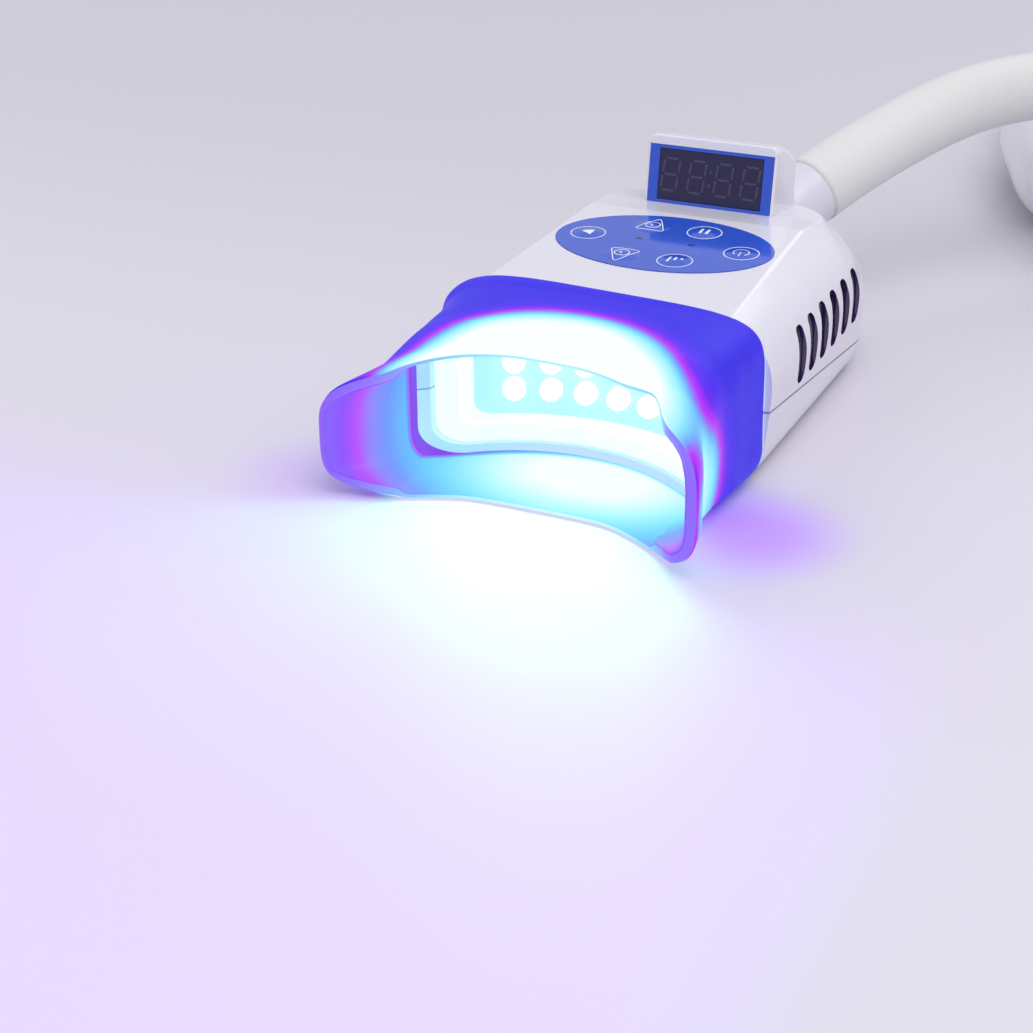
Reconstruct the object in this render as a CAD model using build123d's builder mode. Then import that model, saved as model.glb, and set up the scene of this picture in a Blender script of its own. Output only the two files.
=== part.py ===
from build123d import *
from math import cos, pi, radians, sin, sqrt, tan
import os

# Teeth whitening lamp: a light head with a soft mouth shield, on a gooseneck arm
# X points right, Y to the back of the head and Z up
# The origin is on the rest plane, under the middle of the keypad

# Shared sizes
wall = 2.2
fit_gap = 0.15
running_gap = 0.06
skin_gap = 0.3
overrun = 5.0

# Head
head_height = 44.0
head_half_width = 45.3
head_rear = 72.0
shoulder_depth = 42.0
crown_start = 23.0
head_crease = 34.5
ridge_radius = 2.0
top_tilt = 2.2
crown_tilt = 4.6
rear_tilt = 8.0
parting_height = 14.0
parting_tilt = 6.8
groove_height = 0.5
groove_depth = 0.4
level_shares = (0.0, 0.13, 0.46, 0.78, 0.93, 1.09)
width_shares = (0.83, 0.95, 0.99, 0.94, 0.79, 0.63)
rear_shares = (0.955, 0.95, 0.98, 0.885, 0.855, 0.805)
corner_shares = (0.58, 0.70, 0.79, 0.80, 0.73, 0.56)

# Nose, the tube that carries the shield
nose_half_width = 37.8
nose_height = 38.0
nose_middle = 22.0
nose_corner = 9.5
nose_wall = 2.2
nose_reach = 51.0
nose_arc = 46.0

# Side vents
vent_count = 6
vent_pitch = 9.5
vent_width = 4.8
vent_height = 15.2
vent_corner = 1.8
vent_middle = 25.8
vent_start = -17.2
vent_wall = 1.2
vent_border = 4.0
scoop_rim = 0.7
scoop_rise = 0.9
scoop_depth = 1.1
scoop_taper = 40.0

# Keypad
pad_length = 60.0
pad_width = 40.0
pad_thickness = 0.6
pad_recess = 0.4
key_radius = 4.3
key_gap = 0.3
key_rise = 0.45
key_thickness = 0.9
key_travel = 0.35
key_pocket = 1.2
stem_radius = 1.8
power_reach = 21.7
side_reach = 7.4
row_reach = 11.2
indicator_width = 1.8
indicator_height = 1.1
indicator_shift = 0.9

# Keypad board and switches
board_thickness = 1.6
board_width = 36.0
post_gap = 2.5
switch_side = 6.0
switch_height = 3.4
nub_radius = 1.7
nub_height = 0.9
nub_clearance = 0.3
post_radius = 2.4

# Display pod
bezel_width = 37.6
bezel_height = 20.0
bezel_depth = 3.4
bezel_corner = 2.0
bezel_lean = 8.5
bezel_foot = 33.7
pod_width = 36.4
pod_rear = 58.0
pod_corner = 3.0
pod_radius = 2.0
pod_step = 0.6
pod_shoulder = 1.7
pod_drop = 9.4
pod_sink = 1.2
label_width = 36.0
label_height = 16.0
label_thickness = 0.5
window_width = 30.1
window_height = 14.0
window_thickness = 1.5
module_depth = 7.2
window_lift = 8.1

# Ball joint
ball_radius = 11.0
ball_back = 48.0
ball_height = 25.0
seat_wall = 1.8
cup_wall = 1.9
cup_front_angle = 52.0
dish_angle = 54.0
dish_tilt = 12.0
dish_wall = 2.3
neck_radius = 4.2
neck_bore = 3.1
neck_yaw = 29.5
neck_pitch = 22.2
seam_reach = 36.5
collar_radius = 9.8
collar_length = 22.5
collar_foot = 5.6
collar_waist = 9.0
collar_rise = 9.0
collar_thread = 11.0
spigot_length = 12.0
core_socket = 8.0

# Arm
sheath_radius = 10.25
sheath_wall = 1.6
core_radius = 6.5
core_bore = 3.1
lead_radius = 2.8
arm_lift = 10.5
first_run = 24.0
arm_across = (58.0, 104.0, 146.0, 161.0, 160.0, 124.0, 74.0, 38.0)
arm_along = (146.0, 184.0, 232.0, 282.0, 322.0, 360.0, 362.0, 326.0)
arm_heights = (60.5, 52.0, 28.0, 12.5, arm_lift, arm_lift, arm_lift, arm_lift)
last_run = 37.5
arm_foot_x = 54.0
arm_foot_y = 246.0
arm_foot_yaw = 18.4

# Arm connector and mounting pin
connector_radius = 19.0
connector_length = 68.0
connector_belly = 30.0
connector_shoulder = 20.0
connector_mouth = 13.2
connector_end = 13.0
mouth_depth = 8.0
connector_round = 3.0
pin_radius = 6.0
pin_length = 42.0
pin_seat = 16.0
seat_step = 0.5
pin_wall = 1.4
pin_chamfer = 0.8
grommet_lip = 1.2
grommet_depth = 6.0

# Light engine
arc_centre = nose_reach + nose_arc
pane_set_back = 4.4
pane_thickness = 1.6
frame_wall = 3.2
frame_lip = 1.0
frame_front_wall = 2.9
source_space = 4.8
flange_step = 1.5
carrier_back = 37.0
pane_radius = nose_arc + pane_set_back
carrier_radius = pane_radius + pane_thickness + source_space
frame_back = carrier_radius + flange_step
led_radius = 2.9
led_stand = 1.6
led_dome_share = 0.8
led_pitch = 9.2
led_columns = 6
led_row_pitch = 7.6
led_row_low = 16.0
red_places = ((1, 0), (3, 1))
led_board_thickness = 1.6
sink_width = 56.0
sink_height = 30.0
sink_base = 3.0
sink_depth = 17.0
fin_count = 11
fin_thickness = 1.1

# Fan
fan_side = 30.0
fan_thickness = 10.0
fan_corner = 3.0
fan_bore = 14.0
fan_front = 3.0
fan_height = 18.8
hub_radius = 7.4
hub_start = 1.0
blade_tip = 13.5
blade_count = 7
blade_thickness = 1.0
blade_pitch = 38.0
strut_count = 3
strut_width = 2.0
strut_thickness = 1.5
shaft_radius = 1.0
fan_hole_radius = 1.5
fan_hole_pitch = 24.0
shaft_length = 6.0
cradle_height = 8.0
cradle_wall = 1.8

# Mouth shield
shield_wall = 2.0
shield_arc = 50.0
shield_middle = 76.0
shield_tip = 97.0
wing_top_corner = 15.0
wing_base_corner = 9.0
shield_stations = (shoulder_depth + skin_gap, 54.0, 68.5, 79.0, 104.0)
shield_half_widths = (44.3, 43.4, 41.6, 42.2, 52.6)
shield_tops = (44.0, 43.9, 43.5, 40.4, 39.0)
shield_bottoms = (0.4, 0.5, 0.6, 1.4, 0.4)
shield_corners = (13.0, 12.0, 11.5, 12.0, 14.0)
shield_grips = (3.9, 3.0, 0.6, 0.0, 0.0)

# Screws
boss_radius = 3.4
boss_front_x = 35.5
boss_front_y = -31.0
boss_rear_x = 31.0
boss_rear_y = 33.0
screw_radius = 1.4
screw_head_radius = 2.7
screw_head_height = 2.0
screw_length = 22.0
thread_gap = 0.02
stake_radius = 1.0
screw_sink = 3.0

os.makedirs("parts", exist_ok=True)


def write(piece, name):
    piece.part.label = name
    export_step(piece.part, "parts/" + name + ".step")


# The head's outline at one height, with straight sides and a rounded rear
def head_outline(place, inset):
    half_width = head_half_width * width_shares[place] - inset
    rear = head_rear * rear_shares[place] - inset
    corner = head_half_width * corner_shares[place] - inset
    height = head_height * level_shares[place]
    depth = shoulder_depth - inset
    if place == 0:
        height = height + inset
    with BuildSketch(Plane.XY.offset(height)) as outline:
        with BuildLine():
            front_left = (-half_width, -depth)
            front_right = (half_width, -depth)
            rear_right = (half_width, rear)
            rear_left = (-half_width, rear)
            Polyline(front_left, front_right, rear_right, rear_left, close=True)
        make_face()
        fillet(outline.vertices().group_by(Axis.Y)[-1], radius=corner)
    return outline.sketch


top_normal = (0, -sin(radians(top_tilt)), cos(radians(top_tilt)))
rear_normal = (0, sin(radians(rear_tilt)), cos(radians(rear_tilt)))
crown_normal = (0, sin(radians(crown_tilt)), cos(radians(crown_tilt)))
crown_height = head_height + crown_start * tan(radians(top_tilt))
crease_height = crown_height - (head_crease - crown_start) * tan(radians(crown_tilt))
top_plane = Plane(origin=(0, 0, head_height), x_dir=(1, 0, 0), z_dir=top_normal)
crown_plane = Plane(origin=(0, crown_start, crown_height), x_dir=(1, 0, 0), z_dir=crown_normal)
rear_plane = Plane(origin=(0, head_crease, crease_height), x_dir=(1, 0, 0), z_dir=rear_normal)
parting_normal = (0, sin(radians(parting_tilt)), cos(radians(parting_tilt)))
parting_plane = Plane(origin=(0, 0, parting_height), x_dir=(1, 0, 0), z_dir=parting_normal)

# Outer form of the head, with soft creases along the top
with BuildPart() as head_form:
    loft(sections=[head_outline(place, 0) for place in range(len(level_shares))])
    split(bisect_by=top_plane, keep=Keep.BOTTOM)
    split(bisect_by=crown_plane, keep=Keep.BOTTOM)
    split(bisect_by=rear_plane, keep=Keep.BOTTOM)
    top_faces = head_form.faces().filter_by(GeomType.PLANE).sort_by(Axis.Z)[-3:]
    ridge = top_faces.edges().filter_by(lambda edge: edge.center().Y > -shoulder_depth / 2)
    fillet(ridge, radius=ridge_radius)

# Hollow inside the head
with BuildPart() as head_cavity:
    loft(sections=[head_outline(place, wall) for place in range(len(level_shares))])
    split(bisect_by=top_plane.offset(-wall), keep=Keep.BOTTOM)
    split(bisect_by=crown_plane.offset(-wall), keep=Keep.BOTTOM)
    split(bisect_by=rear_plane.offset(-wall), keep=Keep.BOTTOM)

# Thinner wall round the side vents
vent_run = (vent_count - 1) * vent_pitch
with BuildPart() as vent_pocket:
    loft(sections=[head_outline(place, vent_wall) for place in range(len(level_shares))])
    with BuildSketch(Plane.YZ.offset(-head_half_width)):
        with Locations((vent_start + vent_run / 2, vent_middle)):
            Rectangle(vent_run + vent_width + vent_border, vent_height + vent_border)
    extrude(amount=2 * head_half_width, mode=Mode.INTERSECT)


# A rounded bar along Y, from one depth to another in front of the origin
def rounded_bar(half_width, height, corner, near, far):
    with BuildPart() as bar:
        with BuildSketch(Plane.XZ.offset(near)):
            with Locations((0, nose_middle)):
                RectangleRounded(2 * half_width, height, corner)
        extrude(amount=far - near)
    return bar.part


# A block between two upright arcs round the same point in front of the mouth
def arc_band(near_radius, far_radius):
    with BuildPart() as band:
        with BuildSketch(Plane.XY.offset(-overrun)):
            with Locations((0, -arc_centre)):
                Circle(far_radius)
                Circle(near_radius, mode=Mode.SUBTRACT)
        extrude(amount=head_height + 2 * overrun)
    return band.part


nose_bar = rounded_bar(nose_half_width, nose_height, nose_corner, shoulder_depth - wall, arc_centre)
bore_half_width = nose_half_width - nose_wall
bore_height = nose_height - 2 * nose_wall
bore_corner = nose_corner - nose_wall
bore_bar = rounded_bar(bore_half_width, bore_height, bore_corner, shoulder_depth - 2 * wall, arc_centre)
with BuildPart() as nose_front:
    with BuildSketch(Plane.XY.offset(-overrun)):
        with Locations((0, -arc_centre)):
            Circle(nose_arc)
    extrude(amount=head_height + 2 * overrun)

# Ball joint frame: the dish faces back and a little up
ball_centre = Vector(0, ball_back, ball_height)
dish_axis = Vector(0, cos(radians(dish_tilt)), sin(radians(dish_tilt)))
neck_across = sin(radians(neck_yaw)) * cos(radians(neck_pitch))
neck_along = cos(radians(neck_yaw)) * cos(radians(neck_pitch))
neck_axis = Vector(neck_across, neck_along, sin(radians(neck_pitch)))
dish_plane = Plane(origin=ball_centre, x_dir=(1, 0, 0), z_dir=dish_axis)
dish_side = dish_axis.cross(Vector(1, 0, 0))
neck_side = neck_axis.cross(Vector(0, 0, 1)).normalized()


# A cone that opens to the rear, with its tip moved in along the dish axis
def dish_cone(tip_shift):
    cone_length = head_rear
    cone_mouth = cone_length * tan(radians(dish_angle))
    tip_plane = dish_plane.offset(-tip_shift)
    with BuildPart() as cone:
        with BuildSketch(Plane(origin=tip_plane.origin, x_dir=(1, 0, 0), z_dir=dish_side)):
            with BuildLine():
                Polyline((0, 0), (cone_mouth, -cone_length), (0, -cone_length), close=True)
            make_face()
        revolve(axis=Axis(tip_plane.origin, tip_plane.z_dir))
    return cone.part


dish_space = dish_cone(0)
dish_shift = dish_wall / sin(radians(dish_angle))
dish_outer = dish_cone(dish_shift)


# A spherical shell round the ball, open towards the dish and to the inside
def ball_zone(inner_radius, outer_radius):
    far = 2 * outer_radius
    open_back = far * tan(radians(dish_angle))
    open_front = far * tan(radians(cup_front_angle))
    with BuildPart() as zone:
        with BuildSketch(Plane(origin=ball_centre, x_dir=(1, 0, 0), z_dir=dish_side)):
            Circle(outer_radius)
            Circle(inner_radius, mode=Mode.SUBTRACT)
            with BuildLine():
                front_edge = (open_front, far)
                back_edge = (open_back, -far)
                Polyline((0, 0), front_edge, (-far, far), (-far, -far), back_edge, close=True)
            make_face(mode=Mode.SUBTRACT)
        revolve(axis=Axis(ball_centre, dish_axis))
    return zone.part


# Key places on the sloping keypad
key_spots = [(power_reach, 0), (-power_reach, 0), (side_reach, row_reach), (side_reach, -row_reach)]
key_spots += [(-side_reach, row_reach), (-side_reach, -row_reach)]
key_names = ("key_power", "key_play", "key_pause", "key_level", "key_time_up", "key_time_down")
indicator_spots = [(side_reach, indicator_shift), (-side_reach, indicator_shift)]
post_reach = power_reach + switch_side / 2 + post_gap + post_radius
board_length = 2 * (post_reach + post_radius)
post_spots = [(post_reach, 0), (-post_reach, 0)]
switch_drop = switch_height + nub_height + key_travel + running_gap
wire_hole_y = bezel_foot + bezel_depth + window_height / 2
screw_tip = screw_sink + screw_length + running_gap

# The hollow housing, before it is parted
with BuildPart() as housing:
    add(head_form.part)
    add(nose_bar)
    add(head_cavity.part, mode=Mode.SUBTRACT)
    add(vent_pocket.part, mode=Mode.SUBTRACT)
    add(bore_bar, mode=Mode.SUBTRACT)
    add(nose_front.part, mode=Mode.SUBTRACT)
    add(dish_outer, mode=Mode.SUBTRACT)
    vent_spots = [(vent_start + place * vent_pitch, vent_middle) for place in range(vent_count)]
    scoop_spots = [(along, vent_middle + scoop_rise) for along, height in vent_spots]
    for side in (1, -1):
        with BuildSketch(Plane.YZ.offset(side * boss_rear_x)):
            with Locations(*vent_spots):
                RectangleRounded(vent_width, vent_height, vent_corner)
        extrude(amount=side * head_half_width, mode=Mode.SUBTRACT)
        with BuildSketch(Plane.YZ.offset(side * (head_half_width - scoop_depth))):
            with Locations(*scoop_spots):
                RectangleRounded(vent_width, vent_height + scoop_rim, vent_corner)
        extrude(amount=side * 2 * scoop_depth, taper=-scoop_taper, mode=Mode.SUBTRACT)

    # Keypad recess, key pockets and the holes for the key stems
    with BuildSketch(top_plane.offset(-pad_recess)):
        Ellipse(pad_length / 2 + fit_gap, pad_width / 2 + fit_gap)
    extrude(amount=overrun, mode=Mode.SUBTRACT)
    with BuildSketch(top_plane.offset(-key_pocket)):
        with Locations(*key_spots):
            Circle(key_radius + key_gap)
    extrude(amount=overrun, mode=Mode.SUBTRACT)
    with BuildSketch(top_plane.offset(-wall - overrun)):
        with Locations(*key_spots):
            Circle(stem_radius + key_gap)
        with Locations(*indicator_spots):
            Rectangle(indicator_width, indicator_height)
    extrude(amount=2 * overrun, mode=Mode.SUBTRACT)
    # Way for the display wires under the pod
    with BuildSketch(Plane.XY.offset(head_height - wall - overrun)):
        with Locations((0, wire_hole_y)):
            RectangleRounded(window_height, window_height / 2, ridge_radius)
    extrude(amount=head_height, mode=Mode.SUBTRACT)

boss_spots = [(boss_front_x, boss_front_y), (-boss_front_x, boss_front_y)]
boss_spots += [(boss_rear_x, boss_rear_y), (-boss_rear_x, boss_rear_y)]
fan_middle_y = fan_front + fan_thickness / 2
cradle_shift = fan_thickness / 2 + fit_gap + cradle_wall / 2

# Screw bosses, trimmed to the head's outline
with BuildPart() as bosses:
    with BuildSketch(Plane.XY):
        with Locations(*boss_spots):
            Circle(boss_radius)
    extrude(amount=head_height + overrun)
    add(head_form.part, mode=Mode.INTERSECT)

# Shallow groove that runs round the head just above the parting
with BuildPart() as parting_groove:
    add(head_form.part)
    with BuildPart(mode=Mode.SUBTRACT):
        loft(sections=[head_outline(place, groove_depth) for place in range(len(level_shares))])
    split(bisect_by=parting_plane, keep=Keep.TOP)
    split(bisect_by=parting_plane.offset(groove_height), keep=Keep.BOTTOM)

# Upper shell, with the posts that the keypad board is staked to
with BuildPart() as upper_shell:
    add(housing.part)
    add(bosses.part)
    split(bisect_by=parting_plane, keep=Keep.TOP)
    add(parting_groove.part, mode=Mode.SUBTRACT)
    with BuildSketch(Plane.XY):
        with Locations(*boss_spots):
            Circle(screw_radius + thread_gap)
    extrude(amount=screw_tip, mode=Mode.SUBTRACT)
    with BuildSketch(top_plane.offset(-wall - switch_drop)):
        with Locations(*post_spots):
            Circle(post_radius)
    extrude(amount=switch_drop + wall / 2)
    with BuildSketch(top_plane.offset(-wall - switch_drop - board_thickness)):
        with Locations(*post_spots):
            Circle(stake_radius)
    extrude(amount=board_thickness + post_radius)
write(upper_shell, "upper_shell")

# Lower shell, with counterbored bosses and a cradle for the fan
with BuildPart() as lower_shell:
    add(housing.part)
    add(bosses.part)
    with BuildSketch(Plane.XY.offset(wall / 2)):
        with Locations((0, fan_middle_y - cradle_shift), (0, fan_middle_y + cradle_shift)):
            Rectangle(fan_side, cradle_wall)
    extrude(amount=cradle_height)
    split(bisect_by=parting_plane, keep=Keep.BOTTOM)
    with BuildSketch(Plane.XY):
        with Locations(*boss_spots):
            Circle(screw_radius + fit_gap)
    extrude(amount=head_height, mode=Mode.SUBTRACT)
    with BuildSketch(Plane.XY):
        with Locations(*boss_spots):
            Circle(screw_head_radius + fit_gap)
    extrude(amount=screw_sink, mode=Mode.SUBTRACT)
write(lower_shell, "lower_shell")

# Screws that hold the shells together
with BuildPart() as shell_screws:
    with BuildSketch(Plane.XY.offset(screw_sink - screw_head_height)):
        with Locations(*boss_spots):
            Circle(screw_head_radius)
    extrude(amount=screw_head_height)
    with BuildSketch(Plane.XY.offset(screw_sink)):
        with Locations(*boss_spots):
            Circle(screw_radius)
    extrude(amount=screw_length)
write(shell_screws, "shell_screws")

# Rear cover: a dish that lets the arm swing, with the cup of the ball joint at its middle
seat_radius = ball_radius + running_gap + seat_wall
cup_radius = seat_radius + running_gap
with BuildPart() as rear_cover:
    add(head_form.part)
    add(dish_outer, mode=Mode.INTERSECT)
    add(dish_space, mode=Mode.SUBTRACT)
    with Locations(ball_centre):
        Sphere(cup_radius, mode=Mode.SUBTRACT)
    add(ball_zone(cup_radius, cup_radius + cup_wall))
write(rear_cover, "rear_cover")

# Seat: the plastic lining that grips the ball
with BuildPart() as socket_seat:
    add(ball_zone(ball_radius + running_gap, seat_radius))
write(socket_seat, "socket_seat")

# Ball stud: ball, neck and threaded end, bored for the lead
collar_start = seam_reach - collar_length
stud_end = collar_start + collar_thread
with BuildPart() as ball_stud:
    with BuildSketch(Plane(origin=ball_centre, x_dir=neck_side, z_dir=neck_side.cross(neck_axis))):
        with BuildLine():
            flat_reach = sqrt(ball_radius**2 - neck_radius**2)
            front_flat = (neck_radius, -flat_reach)
            neck_start = (neck_radius, flat_reach)
            Polyline((neck_bore, -flat_reach), front_flat)
            ThreePointArc(front_flat, (ball_radius, 0), neck_start)
            Polyline(neck_start, (neck_radius, stud_end), (neck_bore, stud_end))
            Line((neck_bore, stud_end), (neck_bore, -flat_reach))
        make_face()
    revolve(axis=Axis(ball_centre, neck_axis))
write(ball_stud, "ball_stud")

# Tip collar: the plain ring at the arm's root, with a spigot inside the sheath
spigot_radius = sheath_radius - sheath_wall - fit_gap
spigot_end = seam_reach + spigot_length
socket_start = spigot_end - core_socket
with BuildPart() as tip_collar:
    with BuildSketch(Plane(origin=ball_centre, x_dir=neck_side, z_dir=neck_side.cross(neck_axis))):
        with BuildLine():
            collar_knee = (collar_waist, collar_start + collar_rise)
            Polyline((neck_radius, collar_start), (collar_foot, collar_start), collar_knee)
            Spline(collar_knee, (collar_radius, seam_reach), tangents=((1, 2), (0, 1)))
            Line((collar_radius, seam_reach), (spigot_radius, seam_reach))
            Polyline((spigot_radius, seam_reach), (spigot_radius, spigot_end), (core_radius, spigot_end))
            Polyline((core_radius, spigot_end), (core_radius, socket_start), (neck_bore, socket_start))
            Polyline((neck_bore, socket_start), (neck_bore, stud_end), (neck_radius, stud_end))
            Line((neck_radius, stud_end), (neck_radius, collar_start))
        make_face()
    revolve(axis=Axis(ball_centre, neck_axis))
write(tip_collar, "tip_collar")

# Route of the arm, from the collar at the head to the connector
foot_yaw = radians(arm_foot_yaw)
foot_axis = Vector(sin(foot_yaw), -cos(foot_yaw), 0)
foot_point = Vector(arm_foot_x, arm_foot_y, connector_radius)
seam_point = ball_centre + neck_axis * seam_reach
route_points = [seam_point, seam_point + neck_axis * first_run]
route_points += [Vector(*point) for point in zip(arm_across, arm_along, arm_heights)]
route_points += [foot_point - foot_axis * last_run, foot_point]
bend_share = 0.45
bend_radii = []
for place in range(1, len(route_points) - 1):
    run_in = route_points[place] - route_points[place - 1]
    run_out = route_points[place + 1] - route_points[place]
    turn = radians(run_in.get_angle(run_out))
    bend_radii.append(bend_share * min(run_in.length, run_out.length) / tan(turn / 2))
print("arm bend radii", [round(radius) for radius in bend_radii])


# A tube along the arm's route, with its two ends moved along the straight end runs
def arm_tube(outer, bore, start_shift, end_shift):
    points = list(route_points)
    points[0] = points[0] + neck_axis * start_shift
    points[-1] = points[-1] + foot_axis * end_shift
    with BuildPart() as tube:
        with BuildLine() as route:
            FilletPolyline(*points, radius=bend_radii)
        with BuildSketch(Plane(origin=points[0], z_dir=neck_axis)):
            Circle(outer)
            if bore > 0:
                Circle(bore, mode=Mode.SUBTRACT)
        sweep()
    length = sum(edge.length for edge in route.edges())
    print("arm tube length", round(length), "volume share", tube.part.volume / length / pi / (outer**2 - bore**2))
    return tube


gooseneck_sheath = arm_tube(sheath_radius, sheath_radius - sheath_wall, 0, 0)
write(gooseneck_sheath, "gooseneck_sheath")

gooseneck_core = arm_tube(core_radius - fit_gap / 2, core_bore, spigot_length - core_socket, mouth_depth)
write(gooseneck_core, "gooseneck_core")

supply_lead = arm_tube(lead_radius, 0, -seam_reach - ball_radius / 2, connector_length + pin_length)
write(supply_lead, "supply_lead")

# Connector at the arm's far end, a turned form with a rounded shoulder
foot_side = Vector(0, 0, 1)
foot_plane = Plane(origin=foot_point, x_dir=foot_axis, z_dir=foot_axis.cross(foot_side))
pin_root = connector_length - pin_seat
seat_outer = pin_radius - seat_step
with BuildPart() as arm_connector:
    with BuildSketch(foot_plane):
        with BuildLine():
            mouth = (-mouth_depth, connector_mouth)
            shoulder = (connector_shoulder - mouth_depth, connector_radius)
            belly = (shoulder[0] + connector_belly, connector_radius)
            end = (connector_length, connector_end)
            Spline(mouth, shoulder, tangents=((1, 1), (1, 0)))
            Line(shoulder, belly)
            Spline(belly, end, tangents=((1, 0), (1, -1)))
            Polyline(end, (connector_length, seat_outer), (pin_root, seat_outer), (pin_root, core_bore))
            Polyline((pin_root, core_bore), (2 * mouth_depth, core_bore), (2 * mouth_depth, core_radius))
            Polyline((2 * mouth_depth, core_radius), (0, core_radius), (0, sheath_radius + fit_gap))
            Polyline((0, sheath_radius + fit_gap), (-mouth_depth, sheath_radius + fit_gap), mouth)
        make_face()
    revolve(axis=Axis(foot_point, foot_axis))
write(arm_connector, "arm_connector")

# Hollow mounting pin
with BuildPart() as mounting_pin:
    with BuildSketch(foot_plane):
        with BuildLine():
            pin_tip = connector_length + pin_length
            pin_bore = pin_radius - pin_wall
            Polyline((pin_root, pin_bore), (pin_root, seat_outer), (connector_length, seat_outer))
            Polyline((connector_length, seat_outer), (connector_length, pin_radius), (pin_tip - pin_chamfer, pin_radius))
            Polyline((pin_tip - pin_chamfer, pin_radius), (pin_tip, pin_radius - pin_chamfer), (pin_tip, pin_bore))
            Line((pin_tip, pin_bore), (pin_root, pin_bore))
        make_face()
    revolve(axis=Axis(foot_point, foot_axis))
write(mounting_pin, "mounting_pin")

# Grommet in the pin's end
with BuildPart() as lead_grommet:
    with BuildSketch(foot_plane):
        with BuildLine():
            grommet_start = pin_tip - grommet_depth
            Polyline((grommet_start, core_bore), (grommet_start, pin_bore), (pin_tip, pin_bore))
            Polyline((pin_tip, pin_bore), (pin_tip, pin_radius - pin_chamfer), (pin_tip + grommet_lip, pin_bore))
            Polyline((pin_tip + grommet_lip, pin_bore), (pin_tip + grommet_lip, core_bore), (grommet_start, core_bore))
        make_face()
    revolve(axis=Axis(foot_point, foot_axis))
write(lead_grommet, "lead_grommet")

# Display pod: a leaning bezel in front of a body with rounded rear corners
lean = radians(bezel_lean)
bezel_origin = Vector(0, bezel_foot, head_height)
bezel_plane = Plane(origin=bezel_origin, x_dir=(1, 0, 0), z_dir=(0, -cos(lean), sin(lean)))
bezel_middle = bezel_height / 2 - pod_sink
pod_front = bezel_foot + bezel_depth / 2
pod_middle = (pod_front + pod_rear) / 2
pod_roof = head_height + (bezel_height - pod_sink) * cos(lean) - pod_step
pod_top_rear = pod_roof - pod_drop
shoulder_spot = (pod_middle, pod_roof - pod_shoulder)
with BuildPart() as display_pod:
    with BuildSketch(Plane.YZ.offset(-pod_width / 2)):
        with BuildLine():
            pod_base = head_height - 2 * wall
            Polyline((pod_rear, pod_top_rear), (pod_rear, pod_base), (pod_front, pod_base), (pod_front, pod_roof))
            ThreePointArc((pod_front, pod_roof), shoulder_spot, (pod_rear, pod_top_rear))
        make_face()
    extrude(amount=pod_width)
    fillet(display_pod.faces().sort_by(Axis.Y)[-1].edges().filter_by(Axis.Z), radius=pod_corner)
    fillet(display_pod.faces().sort_by(Axis.Z)[-1].edges(), radius=pod_radius)
    split(bisect_by=bezel_plane.offset(-bezel_depth / 2), keep=Keep.BOTTOM)
    with BuildSketch(bezel_plane.offset(-bezel_depth)):
        with Locations((0, bezel_middle)):
            RectangleRounded(bezel_width, bezel_height, bezel_corner)
    extrude(amount=bezel_depth)
    fillet(display_pod.faces().sort_by(Axis.Y)[0].edges(), radius=bezel_corner / 4)
    with BuildSketch(bezel_plane.offset(-label_thickness)):
        with Locations((0, window_lift)):
            Rectangle(label_width + 2 * fit_gap, label_height + 2 * fit_gap)
    extrude(amount=bezel_depth, mode=Mode.SUBTRACT)
    with BuildSketch(bezel_plane.offset(-window_thickness - module_depth)):
        with Locations((0, window_lift)):
            Rectangle(window_width + 2 * fit_gap, window_height + 2 * fit_gap)
    extrude(amount=window_thickness + module_depth, mode=Mode.SUBTRACT)
    with BuildSketch(Plane.XY.offset(head_height - wall)):
        with Locations((0, wire_hole_y)):
            RectangleRounded(window_height - wall, window_height / 2 - wall, ridge_radius / 2)
    extrude(amount=bezel_height / 2, mode=Mode.SUBTRACT)
    add(head_form.part, mode=Mode.SUBTRACT)
write(display_pod, "display_pod")

# Blue frame label round the window
with BuildPart() as display_label:
    with BuildSketch(bezel_plane.offset(-label_thickness)):
        with Locations((0, window_lift)):
            Rectangle(label_width, label_height)
            Rectangle(window_width + 2 * fit_gap, window_height + 2 * fit_gap, mode=Mode.SUBTRACT)
    extrude(amount=label_thickness)
write(display_label, "display_label")

# Dark window and the four digit module behind it
with BuildPart() as display_window:
    with BuildSketch(bezel_plane.offset(-window_thickness)):
        with Locations((0, window_lift)):
            Rectangle(window_width, window_height)
    extrude(amount=window_thickness)
write(display_window, "display_window")

with BuildPart() as display_module:
    with BuildSketch(bezel_plane.offset(-window_thickness - module_depth)):
        with Locations((0, window_lift)):
            Rectangle(window_width, window_height)
    extrude(amount=module_depth)
write(display_module, "display_module")

# Oval keypad film, open at the keys and at the two indicator windows
with BuildPart() as keypad_overlay:
    with BuildSketch(top_plane.offset(-pad_recess)):
        Ellipse(pad_length / 2, pad_width / 2)
        with Locations(*key_spots):
            Circle(key_radius + key_gap, mode=Mode.SUBTRACT)
        with Locations(*indicator_spots):
            Rectangle(indicator_width, indicator_height, mode=Mode.SUBTRACT)
    extrude(amount=pad_thickness)
write(keypad_overlay, "keypad_overlay")

# Keys: each raised dome of the film with the stem that pushes its switch
key_top = pad_thickness - pad_recess + key_rise
stem_foot = wall + nub_clearance
for spot, key_name in zip(key_spots, key_names):
    with BuildPart() as key:
        with BuildSketch(top_plane.offset(key_top - key_thickness)):
            with Locations(spot):
                Circle(key_radius)
        extrude(amount=key_thickness)
        fillet(key.faces().sort_by(Axis.Z)[-1].edges(), radius=key_rise / 2)
        with BuildSketch(top_plane.offset(-stem_foot)):
            with Locations(spot):
                Circle(stem_radius)
        extrude(amount=stem_foot + key_top - key_thickness / 2)
    write(key, key_name)

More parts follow.
